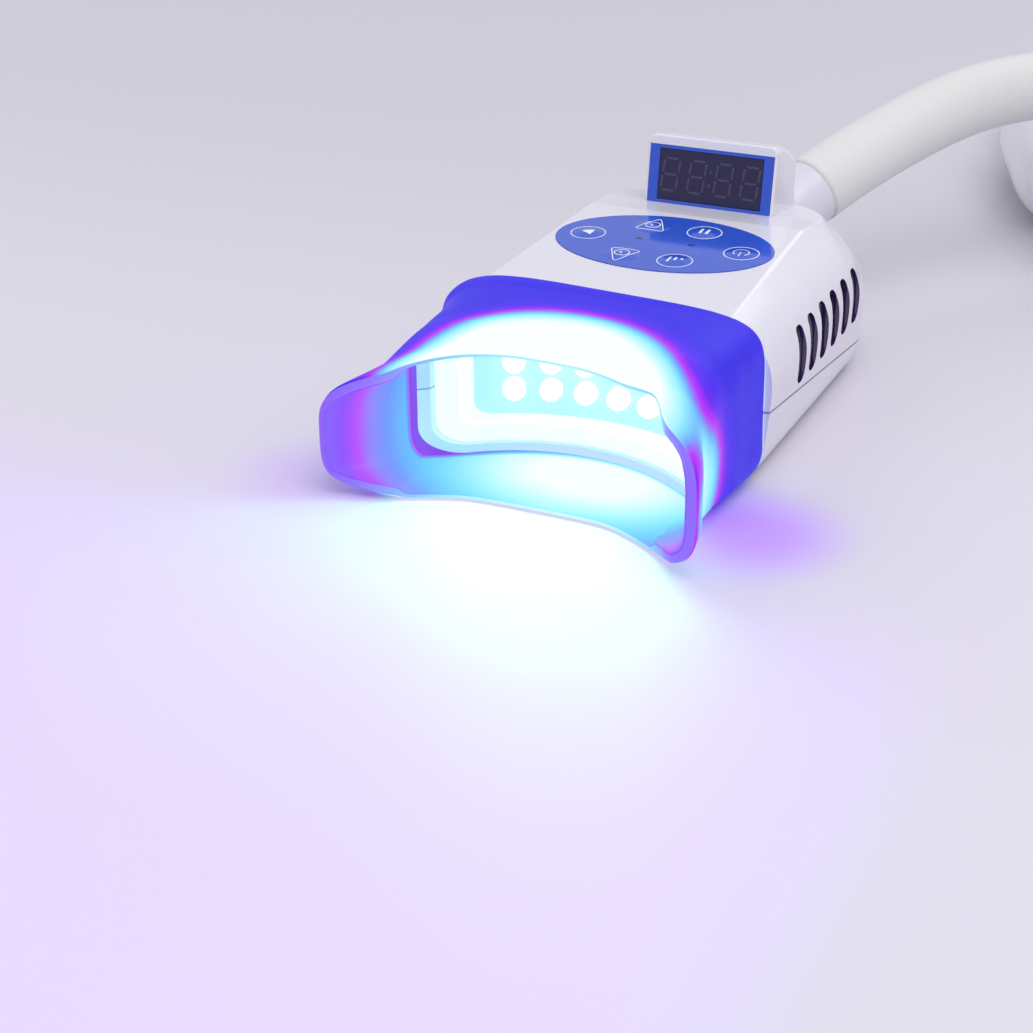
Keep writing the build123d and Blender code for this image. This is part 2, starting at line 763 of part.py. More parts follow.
# Light guides under the two indicator windows
with BuildPart() as indicator_lenses:
    with BuildSketch(top_plane.offset(-wall)):
        with Locations(*indicator_spots):
            Rectangle(indicator_width - fit_gap, indicator_height - fit_gap)
    extrude(amount=wall + pad_thickness - pad_recess)
write(indicator_lenses, "indicator_lenses")

# Keypad board with a switch under each key
with BuildPart() as keypad_board:
    with BuildSketch(top_plane.offset(-wall - switch_drop - board_thickness)):
        RectangleRounded(board_length, board_width, post_radius)
        with Locations(*post_spots):
            Circle(stake_radius + fit_gap, mode=Mode.SUBTRACT)
    extrude(amount=board_thickness)
write(keypad_board, "keypad_board")

with BuildPart() as switch_bodies:
    with BuildSketch(top_plane.offset(-wall - switch_drop)):
        with Locations(*key_spots):
            Rectangle(switch_side, switch_side)
    extrude(amount=switch_height)
    with BuildSketch(top_plane.offset(-wall - switch_drop + switch_height)):
        with Locations(*key_spots):
            Circle(nub_radius)
    extrude(amount=nub_height - nub_clearance)
write(switch_bodies, "switch_bodies")


# A block with the bore's outline that follows two upright arcs
def curved_block(half_width, height, corner, near_radius, far_radius):
    with BuildPart() as block:
        add(rounded_bar(half_width, height, corner, carrier_back, arc_centre))
        add(arc_band(near_radius, far_radius), mode=Mode.INTERSECT)
    return block.part


# Inner frame: a lip in front holds the clear pane
inner_half_width = bore_half_width - fit_gap
inner_height = bore_height - 2 * fit_gap
inner_corner = bore_corner - fit_gap
frame_half_width = inner_half_width - frame_wall
frame_height = inner_height - 2 * frame_wall
frame_corner = inner_corner - frame_wall
pane_half_width = frame_half_width - fit_gap
pane_height = frame_height - 2 * fit_gap
frame_front = pane_radius - frame_front_wall
with BuildPart() as window_frame:
    add(curved_block(inner_half_width, inner_height, inner_corner, frame_front, frame_back))
    lip_half_width = frame_half_width - frame_lip
    lip_bar = rounded_bar(lip_half_width, frame_height - 2 * frame_lip, frame_corner, carrier_back, arc_centre)
    add(lip_bar, mode=Mode.SUBTRACT)
    frame_space = curved_block(frame_half_width, frame_height, frame_corner, pane_radius, arc_centre)
    add(frame_space, mode=Mode.SUBTRACT)
write(window_frame, "window_frame")

# Clear pane in front of the light sources
with BuildPart() as front_window:
    pane_back = pane_radius + pane_thickness
    add(curved_block(pane_half_width, pane_height, frame_corner, pane_radius, pane_back))
write(front_window, "front_window")

# Carrier: curved in front, flat behind, with a flange that stops on the frame
with BuildPart() as led_carrier:
    add(curved_block(pane_half_width, pane_height, frame_corner, carrier_radius, arc_centre))
    add(curved_block(inner_half_width, inner_height, inner_corner, frame_back, arc_centre))
write(led_carrier, "led_carrier")


# Domed light sources in two rows, each square to the curved carrier
def light_sources(places):
    with BuildPart() as sources:
        for column, row in places:
            across = (column - (led_columns - 1) / 2) * led_pitch
            along = sqrt(carrier_radius**2 - across**2) - arc_centre
            height = led_row_low + row * led_row_pitch
            aim = Vector(-across, -arc_centre - along, 0).normalized()
            with BuildSketch(Plane(origin=(across, along, height), z_dir=aim).offset(running_gap)):
                Circle(led_radius)
            extrude(amount=led_stand + led_radius * led_dome_share)
        mouth_middle = Vertex(0, -arc_centre, led_row_low)
        tips = sources.faces().filter_by(GeomType.PLANE).sort_by_distance(mouth_middle)[: len(places)]
        fillet(tips.edges(), radius=led_radius * led_dome_share)
    return sources


all_places = [(column, row) for column in range(led_columns) for row in (0, 1)]
blue_leds = light_sources([place for place in all_places if place not in red_places])
write(blue_leds, "blue_leds")
red_leds = light_sources(red_places)
write(red_leds, "red_leds")

# Board behind the carrier
board_plane = Plane(origin=(0, -carrier_back, nose_middle), x_dir=(1, 0, 0), z_dir=(0, 1, 0))
with BuildPart() as led_board:
    with BuildSketch(board_plane):
        RectangleRounded(sink_width + 2 * sink_base, sink_height, sink_base)
    extrude(amount=led_board_thickness)
write(led_board, "led_board")

# Finned heat sink behind the board
with BuildPart() as heat_sink:
    with BuildSketch(board_plane.offset(led_board_thickness)):
        Rectangle(sink_width, sink_height)
    extrude(amount=sink_base)
    with BuildSketch(board_plane.offset(led_board_thickness)):
        with GridLocations((sink_width - fin_thickness) / (fin_count - 1), 0, fin_count, 1):
            Rectangle(fin_thickness, sink_height)
    extrude(amount=sink_depth)
write(heat_sink, "heat_sink")

# Fan frame with three struts that carry the shaft
fan_plane = Plane(origin=(0, fan_front, fan_height), x_dir=(1, 0, 0), z_dir=(0, 1, 0))
strut_start = fan_thickness - strut_thickness
with BuildPart() as fan_frame:
    with BuildSketch(fan_plane):
        RectangleRounded(fan_side, fan_side, fan_corner)
        Circle(fan_bore, mode=Mode.SUBTRACT)
        with GridLocations(fan_hole_pitch, fan_hole_pitch, 2, 2):
            Circle(fan_hole_radius, mode=Mode.SUBTRACT)
    extrude(amount=fan_thickness)
    with BuildSketch(fan_plane.offset(strut_start)):
        Circle(hub_radius)
        with PolarLocations((fan_bore + hub_radius) / 2, strut_count):
            Rectangle(fan_bore - hub_radius + strut_width, strut_width)
    extrude(amount=strut_thickness)
    with BuildSketch(fan_plane.offset(strut_start - shaft_length)):
        Circle(shaft_radius)
    extrude(amount=shaft_length)
write(fan_frame, "fan_frame")

# Fan rotor with slanted blades
hub_depth = strut_start - hub_start - skin_gap
with BuildPart() as fan_rotor:
    with BuildSketch(fan_plane.offset(hub_start)):
        Circle(hub_radius)
    extrude(amount=hub_depth)
    for blade in range(blade_count):
        angle = radians(blade * 360 / blade_count)
        outward = (cos(angle), 0, sin(angle))
        middle = Vector(0, fan_front + hub_start + hub_depth / 2, fan_height)
        blade_plane = Plane(origin=middle, x_dir=(0, 1, 0), z_dir=outward)
        with BuildSketch(blade_plane):
            Rectangle(hub_depth, blade_thickness, rotation=blade_pitch)
        extrude(amount=blade_tip)
    with BuildSketch(fan_plane):
        Circle(shaft_radius + running_gap)
    extrude(amount=fan_thickness, mode=Mode.SUBTRACT)
write(fan_rotor, "fan_rotor")


# The shield's sleeve and flare through its stations, with the walls that grip the nose or without
def shield_form(inset, grip_share):
    sections = []
    for station, half_width, top, bottom, corner, grip in shield_table:
        with BuildSketch(Plane.XZ.offset(station)) as section:
            with Locations((0, (top + bottom) / 2)):
                clear_width = 2 * (half_width - inset - grip_share * grip)
                RectangleRounded(clear_width, top - bottom - 2 * inset, corner - inset)
        sections.append(section.sketch)
    with BuildPart() as form:
        loft(sections=sections)
    return form.part


shield_heights = list(zip(shield_stations, shield_half_widths, shield_tops, shield_bottoms))
shield_table = [(*row, *end) for row, end in zip(shield_heights, zip(shield_corners, shield_grips))]

# Soft mouth shield: a sleeve for the nose that opens into two wings
with BuildPart() as mouth_shield:
    add(shield_form(0, 0))
    add(shield_form(shield_wall, 1), mode=Mode.SUBTRACT)
    with BuildSketch(Plane.XY.offset(-overrun)):
        with Locations((0, -shield_middle - shield_arc)):
            Circle(shield_arc)
    extrude(amount=head_height + 2 * overrun, mode=Mode.SUBTRACT)
    with BuildSketch(Plane.YZ.offset(-2 * head_half_width)) as wing_side:
        with BuildLine():
            tip_bottom = (-shield_tip, 0)
            tip_top = (-shield_tip, head_height + wall)
            back_top = (0, head_height + wall)
            Polyline((0, 0), tip_bottom, tip_top, back_top, close=True)
        make_face()
        front_corners = wing_side.vertices().group_by(Axis.X)[0].sort_by(Axis.Y)
        fillet(front_corners[0], radius=wing_base_corner)
        front_corners = wing_side.vertices().group_by(Axis.X)[0].sort_by(Axis.Y)
        fillet(front_corners[-1], radius=wing_top_corner)
    extrude(amount=4 * head_half_width, mode=Mode.INTERSECT)
write(mouth_shield, "mouth_shield")
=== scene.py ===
from math import cos, pi, radians, sin, sqrt

import bmesh
import bpy
from mathutils import Matrix, Vector


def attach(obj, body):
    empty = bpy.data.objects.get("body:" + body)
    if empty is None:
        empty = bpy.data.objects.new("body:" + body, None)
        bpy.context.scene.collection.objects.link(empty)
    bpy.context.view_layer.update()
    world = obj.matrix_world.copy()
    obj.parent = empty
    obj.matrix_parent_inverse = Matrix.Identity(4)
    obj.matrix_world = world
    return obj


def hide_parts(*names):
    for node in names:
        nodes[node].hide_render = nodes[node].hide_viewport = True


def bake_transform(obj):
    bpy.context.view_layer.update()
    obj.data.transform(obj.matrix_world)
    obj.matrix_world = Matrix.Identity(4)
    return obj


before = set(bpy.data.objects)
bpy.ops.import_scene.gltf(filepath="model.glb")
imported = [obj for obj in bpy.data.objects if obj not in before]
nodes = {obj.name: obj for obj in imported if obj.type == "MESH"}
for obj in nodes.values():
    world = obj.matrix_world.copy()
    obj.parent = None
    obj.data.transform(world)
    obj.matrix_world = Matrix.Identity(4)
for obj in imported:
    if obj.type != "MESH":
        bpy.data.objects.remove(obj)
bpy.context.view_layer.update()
# lengths below are in millimetres; lamps, the arm's bend and the floor's reach are in metres,
# and a noise's scale counts per metre
mm = 0.001


# camera, fitted to the keypad and the display window in the photograph
cameraLook = {
    "target": (-43.43, 0.0, -45.02),
    "azimuth": 24.83,
    "elevation": 25.83,
    "roll": -0.30,
    "distance": 612.3,
    "lens": 73.19,
    "sensor": 36.0,
    "clipStart": 10.0,
}


def placeCamera(look):
    azimuth, elevation, roll = (radians(look[key]) for key in ("azimuth", "elevation", "roll"))
    back = Vector((sin(azimuth) * cos(elevation), -cos(azimuth) * cos(elevation), sin(elevation)))
    right = Vector((cos(azimuth), sin(azimuth), 0))
    up = back.cross(right)
    rolledRight = right * cos(roll) + up * sin(roll)
    rolledUp = up * cos(roll) - right * sin(roll)
    data = bpy.data.cameras.new("photoCamera")
    data.lens = look["lens"]
    data.sensor_width = look["sensor"]
    data.clip_start = look["clipStart"] * mm
    camera = bpy.data.objects.new("photoCamera", data)
    turn = Matrix((rolledRight, rolledUp, back)).transposed().to_4x4()
    place = (Vector(look["target"]) + back * look["distance"]) * mm
    camera.matrix_world = Matrix.Translation(place) @ turn
    bpy.context.scene.collection.objects.link(camera)
    bpy.context.scene.camera = camera


placeCamera(cameraLook)
bpy.context.scene.view_settings.view_transform = "Standard"
print("camera placed")


# small helpers for node trees; an input is given a value or an output to link
# in the looks below a noise is its scale, detail and roughness, a bump its depth and strength,
# a coat its weight and roughness, and a roughness pair its span over a noise and its least value
def newMaterial(name, **sockets):
    material = bpy.data.materials.new(name)
    material.use_nodes = True
    tree = material.node_tree
    shader = tree.nodes["Principled BSDF"]
    for key, value in sockets.items():
        shader.inputs[key.replace("_", " ")].default_value = value
    return material, tree, shader


def addNode(tree, kind, **settings):
    node = tree.nodes.new(kind)
    for key, value in settings.items():
        setattr(node, key, value)
    return node


def feed(tree, socket, value):
    if hasattr(value, "is_output"):
        tree.links.new(value, socket)
    elif socket.type == "RGBA":
        socket.default_value = (*value, 1)
    else:
        socket.default_value = value


def mathOut(tree, operation, *values, clamp=False):
    node = addNode(tree, "ShaderNodeMath", operation=operation, use_clamp=clamp)
    for socket, value in zip(node.inputs, values):
        feed(tree, socket, value)
    return node.outputs[0]


def vectorOut(tree, operation, *values):
    node = addNode(tree, "ShaderNodeVectorMath", operation=operation)
    for socket, value in zip(node.inputs, values):
        feed(tree, socket, value)
    return node.outputs["Value" if operation in ("DOT_PRODUCT", "LENGTH", "DISTANCE") else "Vector"]


def splitOut(tree, vector):
    node = addNode(tree, "ShaderNodeSeparateXYZ")
    tree.links.new(vector, node.inputs[0])
    return list(node.outputs)


def rampOut(tree, factor, stops):
    node = addNode(tree, "ShaderNodeValToRGB")
    elements = node.color_ramp.elements
    while len(elements) < len(stops):
        elements.new(1.0)
    for element, (position, color) in zip(elements, stops):
        element.position = position
        element.color = (*color, 1)
    tree.links.new(factor, node.inputs[0])
    return node.outputs[0]


def mixOut(tree, factor, first, second):
    node = addNode(tree, "ShaderNodeMix", data_type="RGBA")
    colors = [socket for socket in node.inputs if socket.type == "RGBA"]
    for socket, value in zip((node.inputs["Factor"], *colors), (factor, first, second)):
        feed(tree, socket, value)
    return [socket for socket in node.outputs if socket.type == "RGBA"][0]


def noiseOut(tree, point, scale, detail=2.0, roughness=0.5):
    node = addNode(tree, "ShaderNodeTexNoise")
    for key, value in {"Vector": point, "Scale": scale, "Detail": detail, "Roughness": roughness}.items():
        feed(tree, node.inputs[key], value)
    return node.outputs[0]


def slopeOut(tree, value, start, end):
    node = addNode(tree, "ShaderNodeMapRange", interpolation_type="SMOOTHSTEP")
    for key, given in {"Value": value, "From Min": start * mm, "From Max": end * mm}.items():
        feed(tree, node.inputs[key], given)
    return node.outputs[0]


def objectPoint(tree):
    return addNode(tree, "ShaderNodeTexCoord").outputs["Object"]


def roughOnto(tree, shader, mask, span, least):
    tree.links.new(mathOut(tree, "MULTIPLY_ADD", mask, span, least), shader.inputs["Roughness"])


def bumpOnto(tree, shader, height, depth, strength):
    bump = addNode(tree, "ShaderNodeBump")
    bump.inputs["Strength"].default_value = strength
    bump.inputs["Distance"].default_value = depth * mm
    tree.links.new(height, bump.inputs["Height"])
    tree.links.new(bump.outputs[0], shader.inputs["Normal"])


def newGroup(name, inputs, outputs):
    group = bpy.data.node_groups.new(name, "ShaderNodeTree")
    for label, kind, value in inputs:
        socket = group.interface.new_socket(name=label, in_out="INPUT", socket_type=kind)
        if value is not None:
            socket.default_value = value
    for label, kind in outputs:
        group.interface.new_socket(name=label, in_out="OUTPUT", socket_type=kind)
    return group, group.nodes.new("NodeGroupInput"), group.nodes.new("NodeGroupOutput")


def useGroup(tree, group, **values):
    node = addNode(tree, "ShaderNodeGroup", node_tree=group)
    for key, value in values.items():
        feed(tree, node.inputs[key.replace("_", " ")], value)
    return node


def paint(material, *names):
    for name in names:
        data = nodes[name].data
        data.materials.clear()
        data.materials.append(material)


# small helpers for shapes
def meshObject(name, bm, flatCaps=False):
    mesh = bpy.data.meshes.new(name)
    for face in bm.faces:
        face.smooth = len(face.verts) <= 4 or not flatCaps
    bm.to_mesh(mesh)
    bm.free()
    piece = bpy.data.objects.new(name, mesh)
    bpy.context.scene.collection.objects.link(piece)
    return piece


def weld(bm, reach):
    bmesh.ops.remove_doubles(bm, verts=bm.verts[:], dist=reach)
    bmesh.ops.recalc_face_normals(bm, faces=bm.faces[:])


def sweepInto(bm, points, radius, bevelSteps, kind="POLY", closed=False, resolution=1):
    curve = bpy.data.curves.new("sweep", "CURVE")
    curve.dimensions = "3D"
    spline = curve.splines.new(kind)
    spline.points.add(len(points) - 1)
    for spot, point in zip(spline.points, points):
        spot.co = (*point, 1)
    spline.use_cyclic_u = closed
    if kind == "NURBS":
        spline.order_u = 3
        spline.use_endpoint_u = True
        spline.resolution_u = resolution
    curve.bevel_depth = radius
    curve.bevel_resolution = bevelSteps
    curve.use_fill_caps = True
    holder = bpy.data.objects.new("sweep", curve)
    bpy.context.scene.collection.objects.link(holder)
    mesh = bpy.data.meshes.new_from_object(holder.evaluated_get(bpy.context.evaluated_depsgraph_get()))
    bm.from_mesh(mesh)
    bpy.data.objects.remove(holder)
    bpy.data.meshes.remove(mesh)


# moulded plastic: faint flow marks in the colour, a fine orange peel and some handling haze
mouldLook = {
    "flow": (26.0, 3.0), "haze": (90.0, 5.0, 0.62), "hazeShare": 0.12,
    "roughness": 0.2, "coat": (0.0, 0.03), "variation": 0.03,
    "peelScale": 900.0, "peelDepth": 0.01, "peelStrength": 0.3,
}


def makeMouldGroup(look):
    group, source, sink = newGroup(
        "mouldedPlastic",
        [("Point", "NodeSocketVector", None), ("Color", "NodeSocketColor", None),
         ("Roughness", "NodeSocketFloat", look["roughness"]),
         ("Peel Scale", "NodeSocketFloat", look["peelScale"]),
         ("Variation", "NodeSocketFloat", look["variation"])],
        [("Color", "NodeSocketColor"), ("Roughness", "NodeSocketFloat"), ("Height", "NodeSocketFloat")])
    point = source.outputs["Point"]
    flow = mathOut(group, "SUBTRACT", noiseOut(group, point, *look["flow"]), 0.5)
    haze = mathOut(group, "SUBTRACT", noiseOut(group, point, *look["haze"]), 0.5)
    shift = mathOut(group, "MULTIPLY_ADD", flow, source.outputs["Variation"], 1.0)
    tint = vectorOut(group, "SCALE", source.outputs["Color"])
    group.links.new(shift, tint.node.inputs["Scale"])
    rough = mathOut(group, "MULTIPLY_ADD", haze, look["hazeShare"], source.outputs["Roughness"])
    peel = noiseOut(group, point, source.outputs["Peel Scale"])
    for label, value in {"Color": tint, "Roughness": rough, "Height": peel}.items():
        group.links.new(value, sink.inputs[label])
    return group


# painted light from the mouth: a stretched distance from the light window, 1 at the edge of the painted
# glow
glowLook = {
    "centre": (1.8, -84.0, 15.4), "reach": (43.6, 39.0, 39.8),
    "innerCentre": (5.0, -58.0, 14.0), "innerReach": (66.0, 46.0, 50.0),
    "flareStart": 78.0, "flare": 0.28, "forwardReach": 40.0,
    "noseArc": 46.0, "noseMiddle": 97.0, "noseHalfWidth": 37.8,
}


def stretchedDistance(tree, point, centre, reach):
    offset = vectorOut(tree, "SUBTRACT", point, [v * mm for v in centre])
    return vectorOut(tree, "LENGTH", vectorOut(tree, "MULTIPLY", offset, [1 / (v * mm) for v in reach]))


def flaredDistance(tree, point, look):  # the glow widens with the wings and reaches further forward
    across, back, up = splitOut(tree, vectorOut(tree, "SUBTRACT", point, [v * mm for v in look["centre"]]))
    wide, long, tall = (v * mm for v in look["reach"])
    forward = mathOut(tree, "SUBTRACT", mathOut(tree, "MULTIPLY", splitOut(tree, point)[1], -1.0),
                      look["flareStart"] * mm)
    width = mathOut(tree, "MULTIPLY_ADD", mathOut(tree, "MAXIMUM", forward, 0.0), look["flare"], wide)
    x = mathOut(tree, "DIVIDE", across, width)
    y = mathOut(tree, "MAXIMUM", mathOut(tree, "DIVIDE", back, long),
                mathOut(tree, "DIVIDE", back, -look["forwardReach"] * mm))
    z = mathOut(tree, "DIVIDE", up, tall)
    joined = addNode(tree, "ShaderNodeCombineXYZ")
    for socket, value in zip(joined.inputs, (x, y, z)):
        tree.links.new(value, socket)
    return vectorOut(tree, "LENGTH", joined.outputs[0])


def makeGlowGroup(look):
    group, source, sink = newGroup(
        "mouthGlow", [("Point", "NodeSocketVector", None)],
        [("Outside", "NodeSocketFloat"), ("Inside", "NodeSocketFloat"), ("Ahead", "NodeSocketFloat")])
    point = source.outputs["Point"]
    outside = flaredDistance(group, point, look)
    inside = stretchedDistance(group, point, look["innerCentre"], look["innerReach"])
    across, back, _ = splitOut(group, point)
    side = mathOut(group, "MINIMUM", mathOut(group, "ABSOLUTE", across), look["noseHalfWidth"] * mm)
    square = mathOut(group, "MULTIPLY", side, side)
    arc = mathOut(group, "SQRT", mathOut(group, "SUBTRACT", (look["noseArc"] * mm) ** 2, square))
    edge = mathOut(group, "SUBTRACT", look["noseMiddle"] * mm, arc)  # how far forward the nose ends here
    ahead = mathOut(group, "SUBTRACT", mathOut(group, "MULTIPLY", back, -1.0), edge)
    for label, value in {"Outside": outside, "Inside": inside, "Ahead": ahead}.items():
        group.links.new(value, sink.inputs[label])
    return group


# fine lines of turned and brushed metal
grainLook = {
    "stretch": (0.15, 0.15, 1.0), "scale": 400.0, "patches": (60.0, 4.0),
    "darkShare": 0.8, "roughSpan": 0.15, "bump": (0.01, 0.4),
}


def makeMetalGroup(look):
    group, source, sink = newGroup(
        "turnedMetal", [("Point", "NodeSocketVector", None), ("Scale", "NodeSocketFloat", look["scale"])],
        [("Mask", "NodeSocketFloat"), ("Height", "NodeSocketFloat")])
    point = source.outputs["Point"]
    grain = noiseOut(group, vectorOut(group, "MULTIPLY", point, look["stretch"]), source.outputs["Scale"])
    group.links.new(grain, sink.inputs["Height"])
    group.links.new(noiseOut(group, point, *look["patches"]), sink.inputs["Mask"])
    return group


mouldGroup = makeMouldGroup(mouldLook)
glowGroup = makeGlowGroup(glowLook)
metalGroup = makeMetalGroup(grainLook)
print("surface effects made")


# white shells: a thin dark line at the parting, a nose tinted with painted glow, and vents painted dark
# inside as shade
shellLook = {
    "white": (0.77, 0.755, 0.83), "roughness": 0.22, "coat": (0.5, 0.06),
    "peelScale": 700.0, "variation": 0.035, "bump": (0.01, 0.4),
    "partingHeight": 14.0, "partingTilt": 6.8,
    "lineWidth": 0.22, "lineDepth": 6.0, "lineColor": (0.42, 0.40, 0.52),
    "paintedGlowTint": (0.76, 0.94, 0.98), "noseStart": 43.0,
    "slotPaintedShade": (0.030, 0.009, 0.075), "slotTurn": 0.82, "slotSide": 36.0,
    "slotLow": (-20.6, 17.6), "slotHigh": (33.6, 34.0),
}


# painted shade: the walls inside the vents, turned sideways within the vent band, are marked for a near
# black colour
def paintedSlotShadeMask(tree, look, place):
    facing = splitOut(tree, addNode(tree, "ShaderNodeTexCoord").outputs["Normal"])[0]
    turned = mathOut(tree, "LESS_THAN", mathOut(tree, "ABSOLUTE", facing), look["slotTurn"])
    aside = mathOut(tree, "GREATER_THAN", mathOut(tree, "ABSOLUTE", place[0]), look["slotSide"] * mm)
    mask = mathOut(tree, "MULTIPLY", turned, aside)
    for value, low, high in zip(place[1:], look["slotLow"], look["slotHigh"]):
        above = mathOut(tree, "GREATER_THAN", value, low * mm)
        below = mathOut(tree, "LESS_THAN", value, high * mm)
        mask = mathOut(tree, "MULTIPLY", mask, mathOut(tree, "MULTIPLY", above, below))
    return mask


def makeShellMaterial(look):
    coat, coatRoughness = look["coat"]
    material, tree, shader = newMaterial("glossWhiteShell", Coat_Weight=coat, Coat_Roughness=coatRoughness)
    point = objectPoint(tree)
    place = splitOut(tree, point)
    tilt = radians(look["partingTilt"])
    height = vectorOut(tree, "DOT_PRODUCT", point, (0, sin(tilt), cos(tilt)))
    away = mathOut(tree, "SUBTRACT", height, look["partingHeight"] * mm * cos(tilt))
    line = mathOut(tree, "LESS_THAN", mathOut(tree, "ABSOLUTE", away), look["lineWidth"] * mm)
    # painted light: the shell's nose ahead of noseStart is tinted with the glow from the mouth
    nose = mathOut(tree, "LESS_THAN", place[1], -look["noseStart"] * mm)
    paintedLightWash = mixOut(tree, nose, look["white"], look["paintedGlowTint"])
    lined = mixOut(tree, line, paintedLightWash, look["lineColor"])
    finish = useGroup(tree, mouldGroup, Point=point, Color=lined, Roughness=look["roughness"],
                      Peel_Scale=look["peelScale"], Variation=look["variation"])
    # painted shade: the inner walls of the vents take the near black slot colour
    slotShadePainted = mixOut(tree, paintedSlotShadeMask(tree, look, place), finish.outputs["Color"], look["slotPaintedShade"])
    tree.links.new(slotShadePainted, shader.inputs["Base Color"])
    tree.links.new(finish.outputs["Roughness"], shader.inputs["Roughness"])
    grooved = mathOut(tree, "MULTIPLY_ADD", line, -look["lineDepth"], finish.outputs["Height"])
    bumpOnto(tree, shader, grooved, *look["bump"])
    return material


paint(makeShellMaterial(shellLook), "upper_shell", "lower_shell")

# the other moulded and printed surfaces, each with the nodes that it paints
plasticLook = {
    "glossWhiteTrim": {
        "color": (0.80, 0.79, 0.86), "roughness": 0.24, "coat": (0.4, 0.08),
        "nodes": ("rear_cover", "display_pod", "arm_connector")},
    "satinCollar": {
        "color": (0.68, 0.67, 0.74), "roughness": 0.34, "coat": (0.2, 0.15), "variation": 0.05,
        "nodes": ("tip_collar",)},
    "greyNylon": {
        "color": (0.72, 0.71, 0.68), "roughness": 0.5, "variation": 0.06, "nodes": ("socket_seat",)},
    "printedBlueFilm": {
        "color": (0.020, 0.090, 0.62), "roughness": 0.16, "coat": (0.6, 0.05), "peelScale": 1500.0,
        "variation": 0.08, "nodes": ("keypad_overlay", "display_label")},
    "smokedWindow": {
        "color": (0.010, 0.005, 0.055), "roughness": 0.12, "coat": (0.5, 0.03), "peelScale": 600.0,
        "variation": 0.2, "nodes": ("display_window", "indicator_lenses")},
    "blackPlastic": {
        "color": (0.012, 0.012, 0.015), "roughness": 0.45, "peelScale": 1800.0, "variation": 0.3,
        "nodes": ("display_module", "switch_bodies", "fan_frame", "fan_rotor")},
    "whiteInk": {
        "color": (0.80, 0.86, 0.96), "roughness": 0.4, "peelScale": 2500.0, "variation": 0.10, "nodes": ()},
    "greySegments": {
        "color": (0.058, 0.052, 0.125), "roughness": 0.35, "peelScale": 2500.0, "variation": 0.2,
        "nodes": ()},
}


def mouldedMaterial(name, ownLook):
    look = {**mouldLook, **ownLook}
    coat, coatRoughness = look["coat"]
    material, tree, shader = newMaterial(name, Coat_Weight=coat, Coat_Roughness=coatRoughness)
    finish = useGroup(
        tree, mouldGroup, Point=objectPoint(tree), Color=look["color"], Roughness=look["roughness"],
        Peel_Scale=look["peelScale"], Variation=look["variation"])
    tree.links.new(finish.outputs["Color"], shader.inputs["Base Color"])
    tree.links.new(finish.outputs["Roughness"], shader.inputs["Roughness"])
    bumpOnto(tree, shader, finish.outputs["Height"], look["peelDepth"], look["peelStrength"])
    return material


plastics = {}
for plasticName, plasticValues in plasticLook.items():
    plastics[plasticName] = mouldedMaterial(plasticName, plasticValues)
    paint(plastics[plasticName], *plasticValues["nodes"])
print("plastics painted")


# printed marks are swept lines and small discs, flattened into ink
inkLook = {"step": 0.5, "closedReach": 0.01, "bevelSteps": 1, "weld": 0.0001,
           "dotSides": 16, "dotTaper": 0.94, "dotDepth": 0.2, "cornerShares": (0, 0.25, 0.5, 0.75, 1)}


def arcPoints(radius, start, end, steps):
    turns = [radians(start + (end - start) * k / steps) for k in range(steps + 1)]
    return [(radius * cos(turn), radius * sin(turn)) for turn in turns]


def roundedOutline(corners, radius):
    points = []
    for k, corner in enumerate(corners):
        here = Vector(corner)
        before = (Vector(corners[k - 1]) - here).normalized()
        after = (Vector(corners[(k + 1) % len(corners)]) - here).normalized()
        half = before.angle(after) / 2
        for share in inkLook["cornerShares"]:  # a corner drawn as a quadratic curve
            first, last = here + before * radius / half, here + after * radius / half
            points.append(first * (1 - share) ** 2 + here * 2 * share * (1 - share) + last * share ** 2)
    return [tuple(point) for point in points] + [tuple(points[0])]


def closeSet(line, reach):
    points = [line[0]]
    for start, end in zip(line, line[1:]):
        a, b = Vector(start), Vector(end)
        steps = max(1, round((b - a).length / reach))
        points += [tuple(a.lerp(b, k / steps)) for k in range(1, steps + 1)]
    return points


def inkStroke(bm, line, radius):
    points = closeSet(line, inkLook["step"])
    closed = (Vector(points[0]) - Vector(points[-1])).length < inkLook["closedReach"]
    if closed:
        points.pop()
    sweepInto(bm, [(*point, 0) for point in points], radius, inkLook["bevelSteps"], closed=closed)


def placeMillimetres(name, bm, frameMatrix):
    bmesh.ops.scale(bm, vec=(mm, mm, mm), verts=bm.verts[:])
    bmesh.ops.transform(bm, matrix=frameMatrix, verts=bm.verts[:])
    return meshObject(name, bm)


def markPiece(name, strokes, frameMatrix, flatness, dots=(), drape=None):
    bm = bmesh.new()
    for line, radius in strokes:
        inkStroke(bm, line, radius)
    for centre, radius in dots:
        bmesh.ops.create_cone(
            bm, cap_ends=True, segments=inkLook["dotSides"], radius1=radius,
            radius2=radius * inkLook["dotTaper"], depth=radius * inkLook["dotDepth"],
            matrix=Matrix.Translation((*centre, 0)))
    weld(bm, inkLook["weld"])
    bmesh.ops.scale(bm, vec=(1, 1, flatness), verts=bm.verts[:])
    if drape:  # the ink lies on the dome
        for vert in bm.verts:
            vert.co.z += domeHeight(drape, sqrt(vert.co.x ** 2 + vert.co.y ** 2))
    return placeMillimetres(name, bm, frameMatrix)


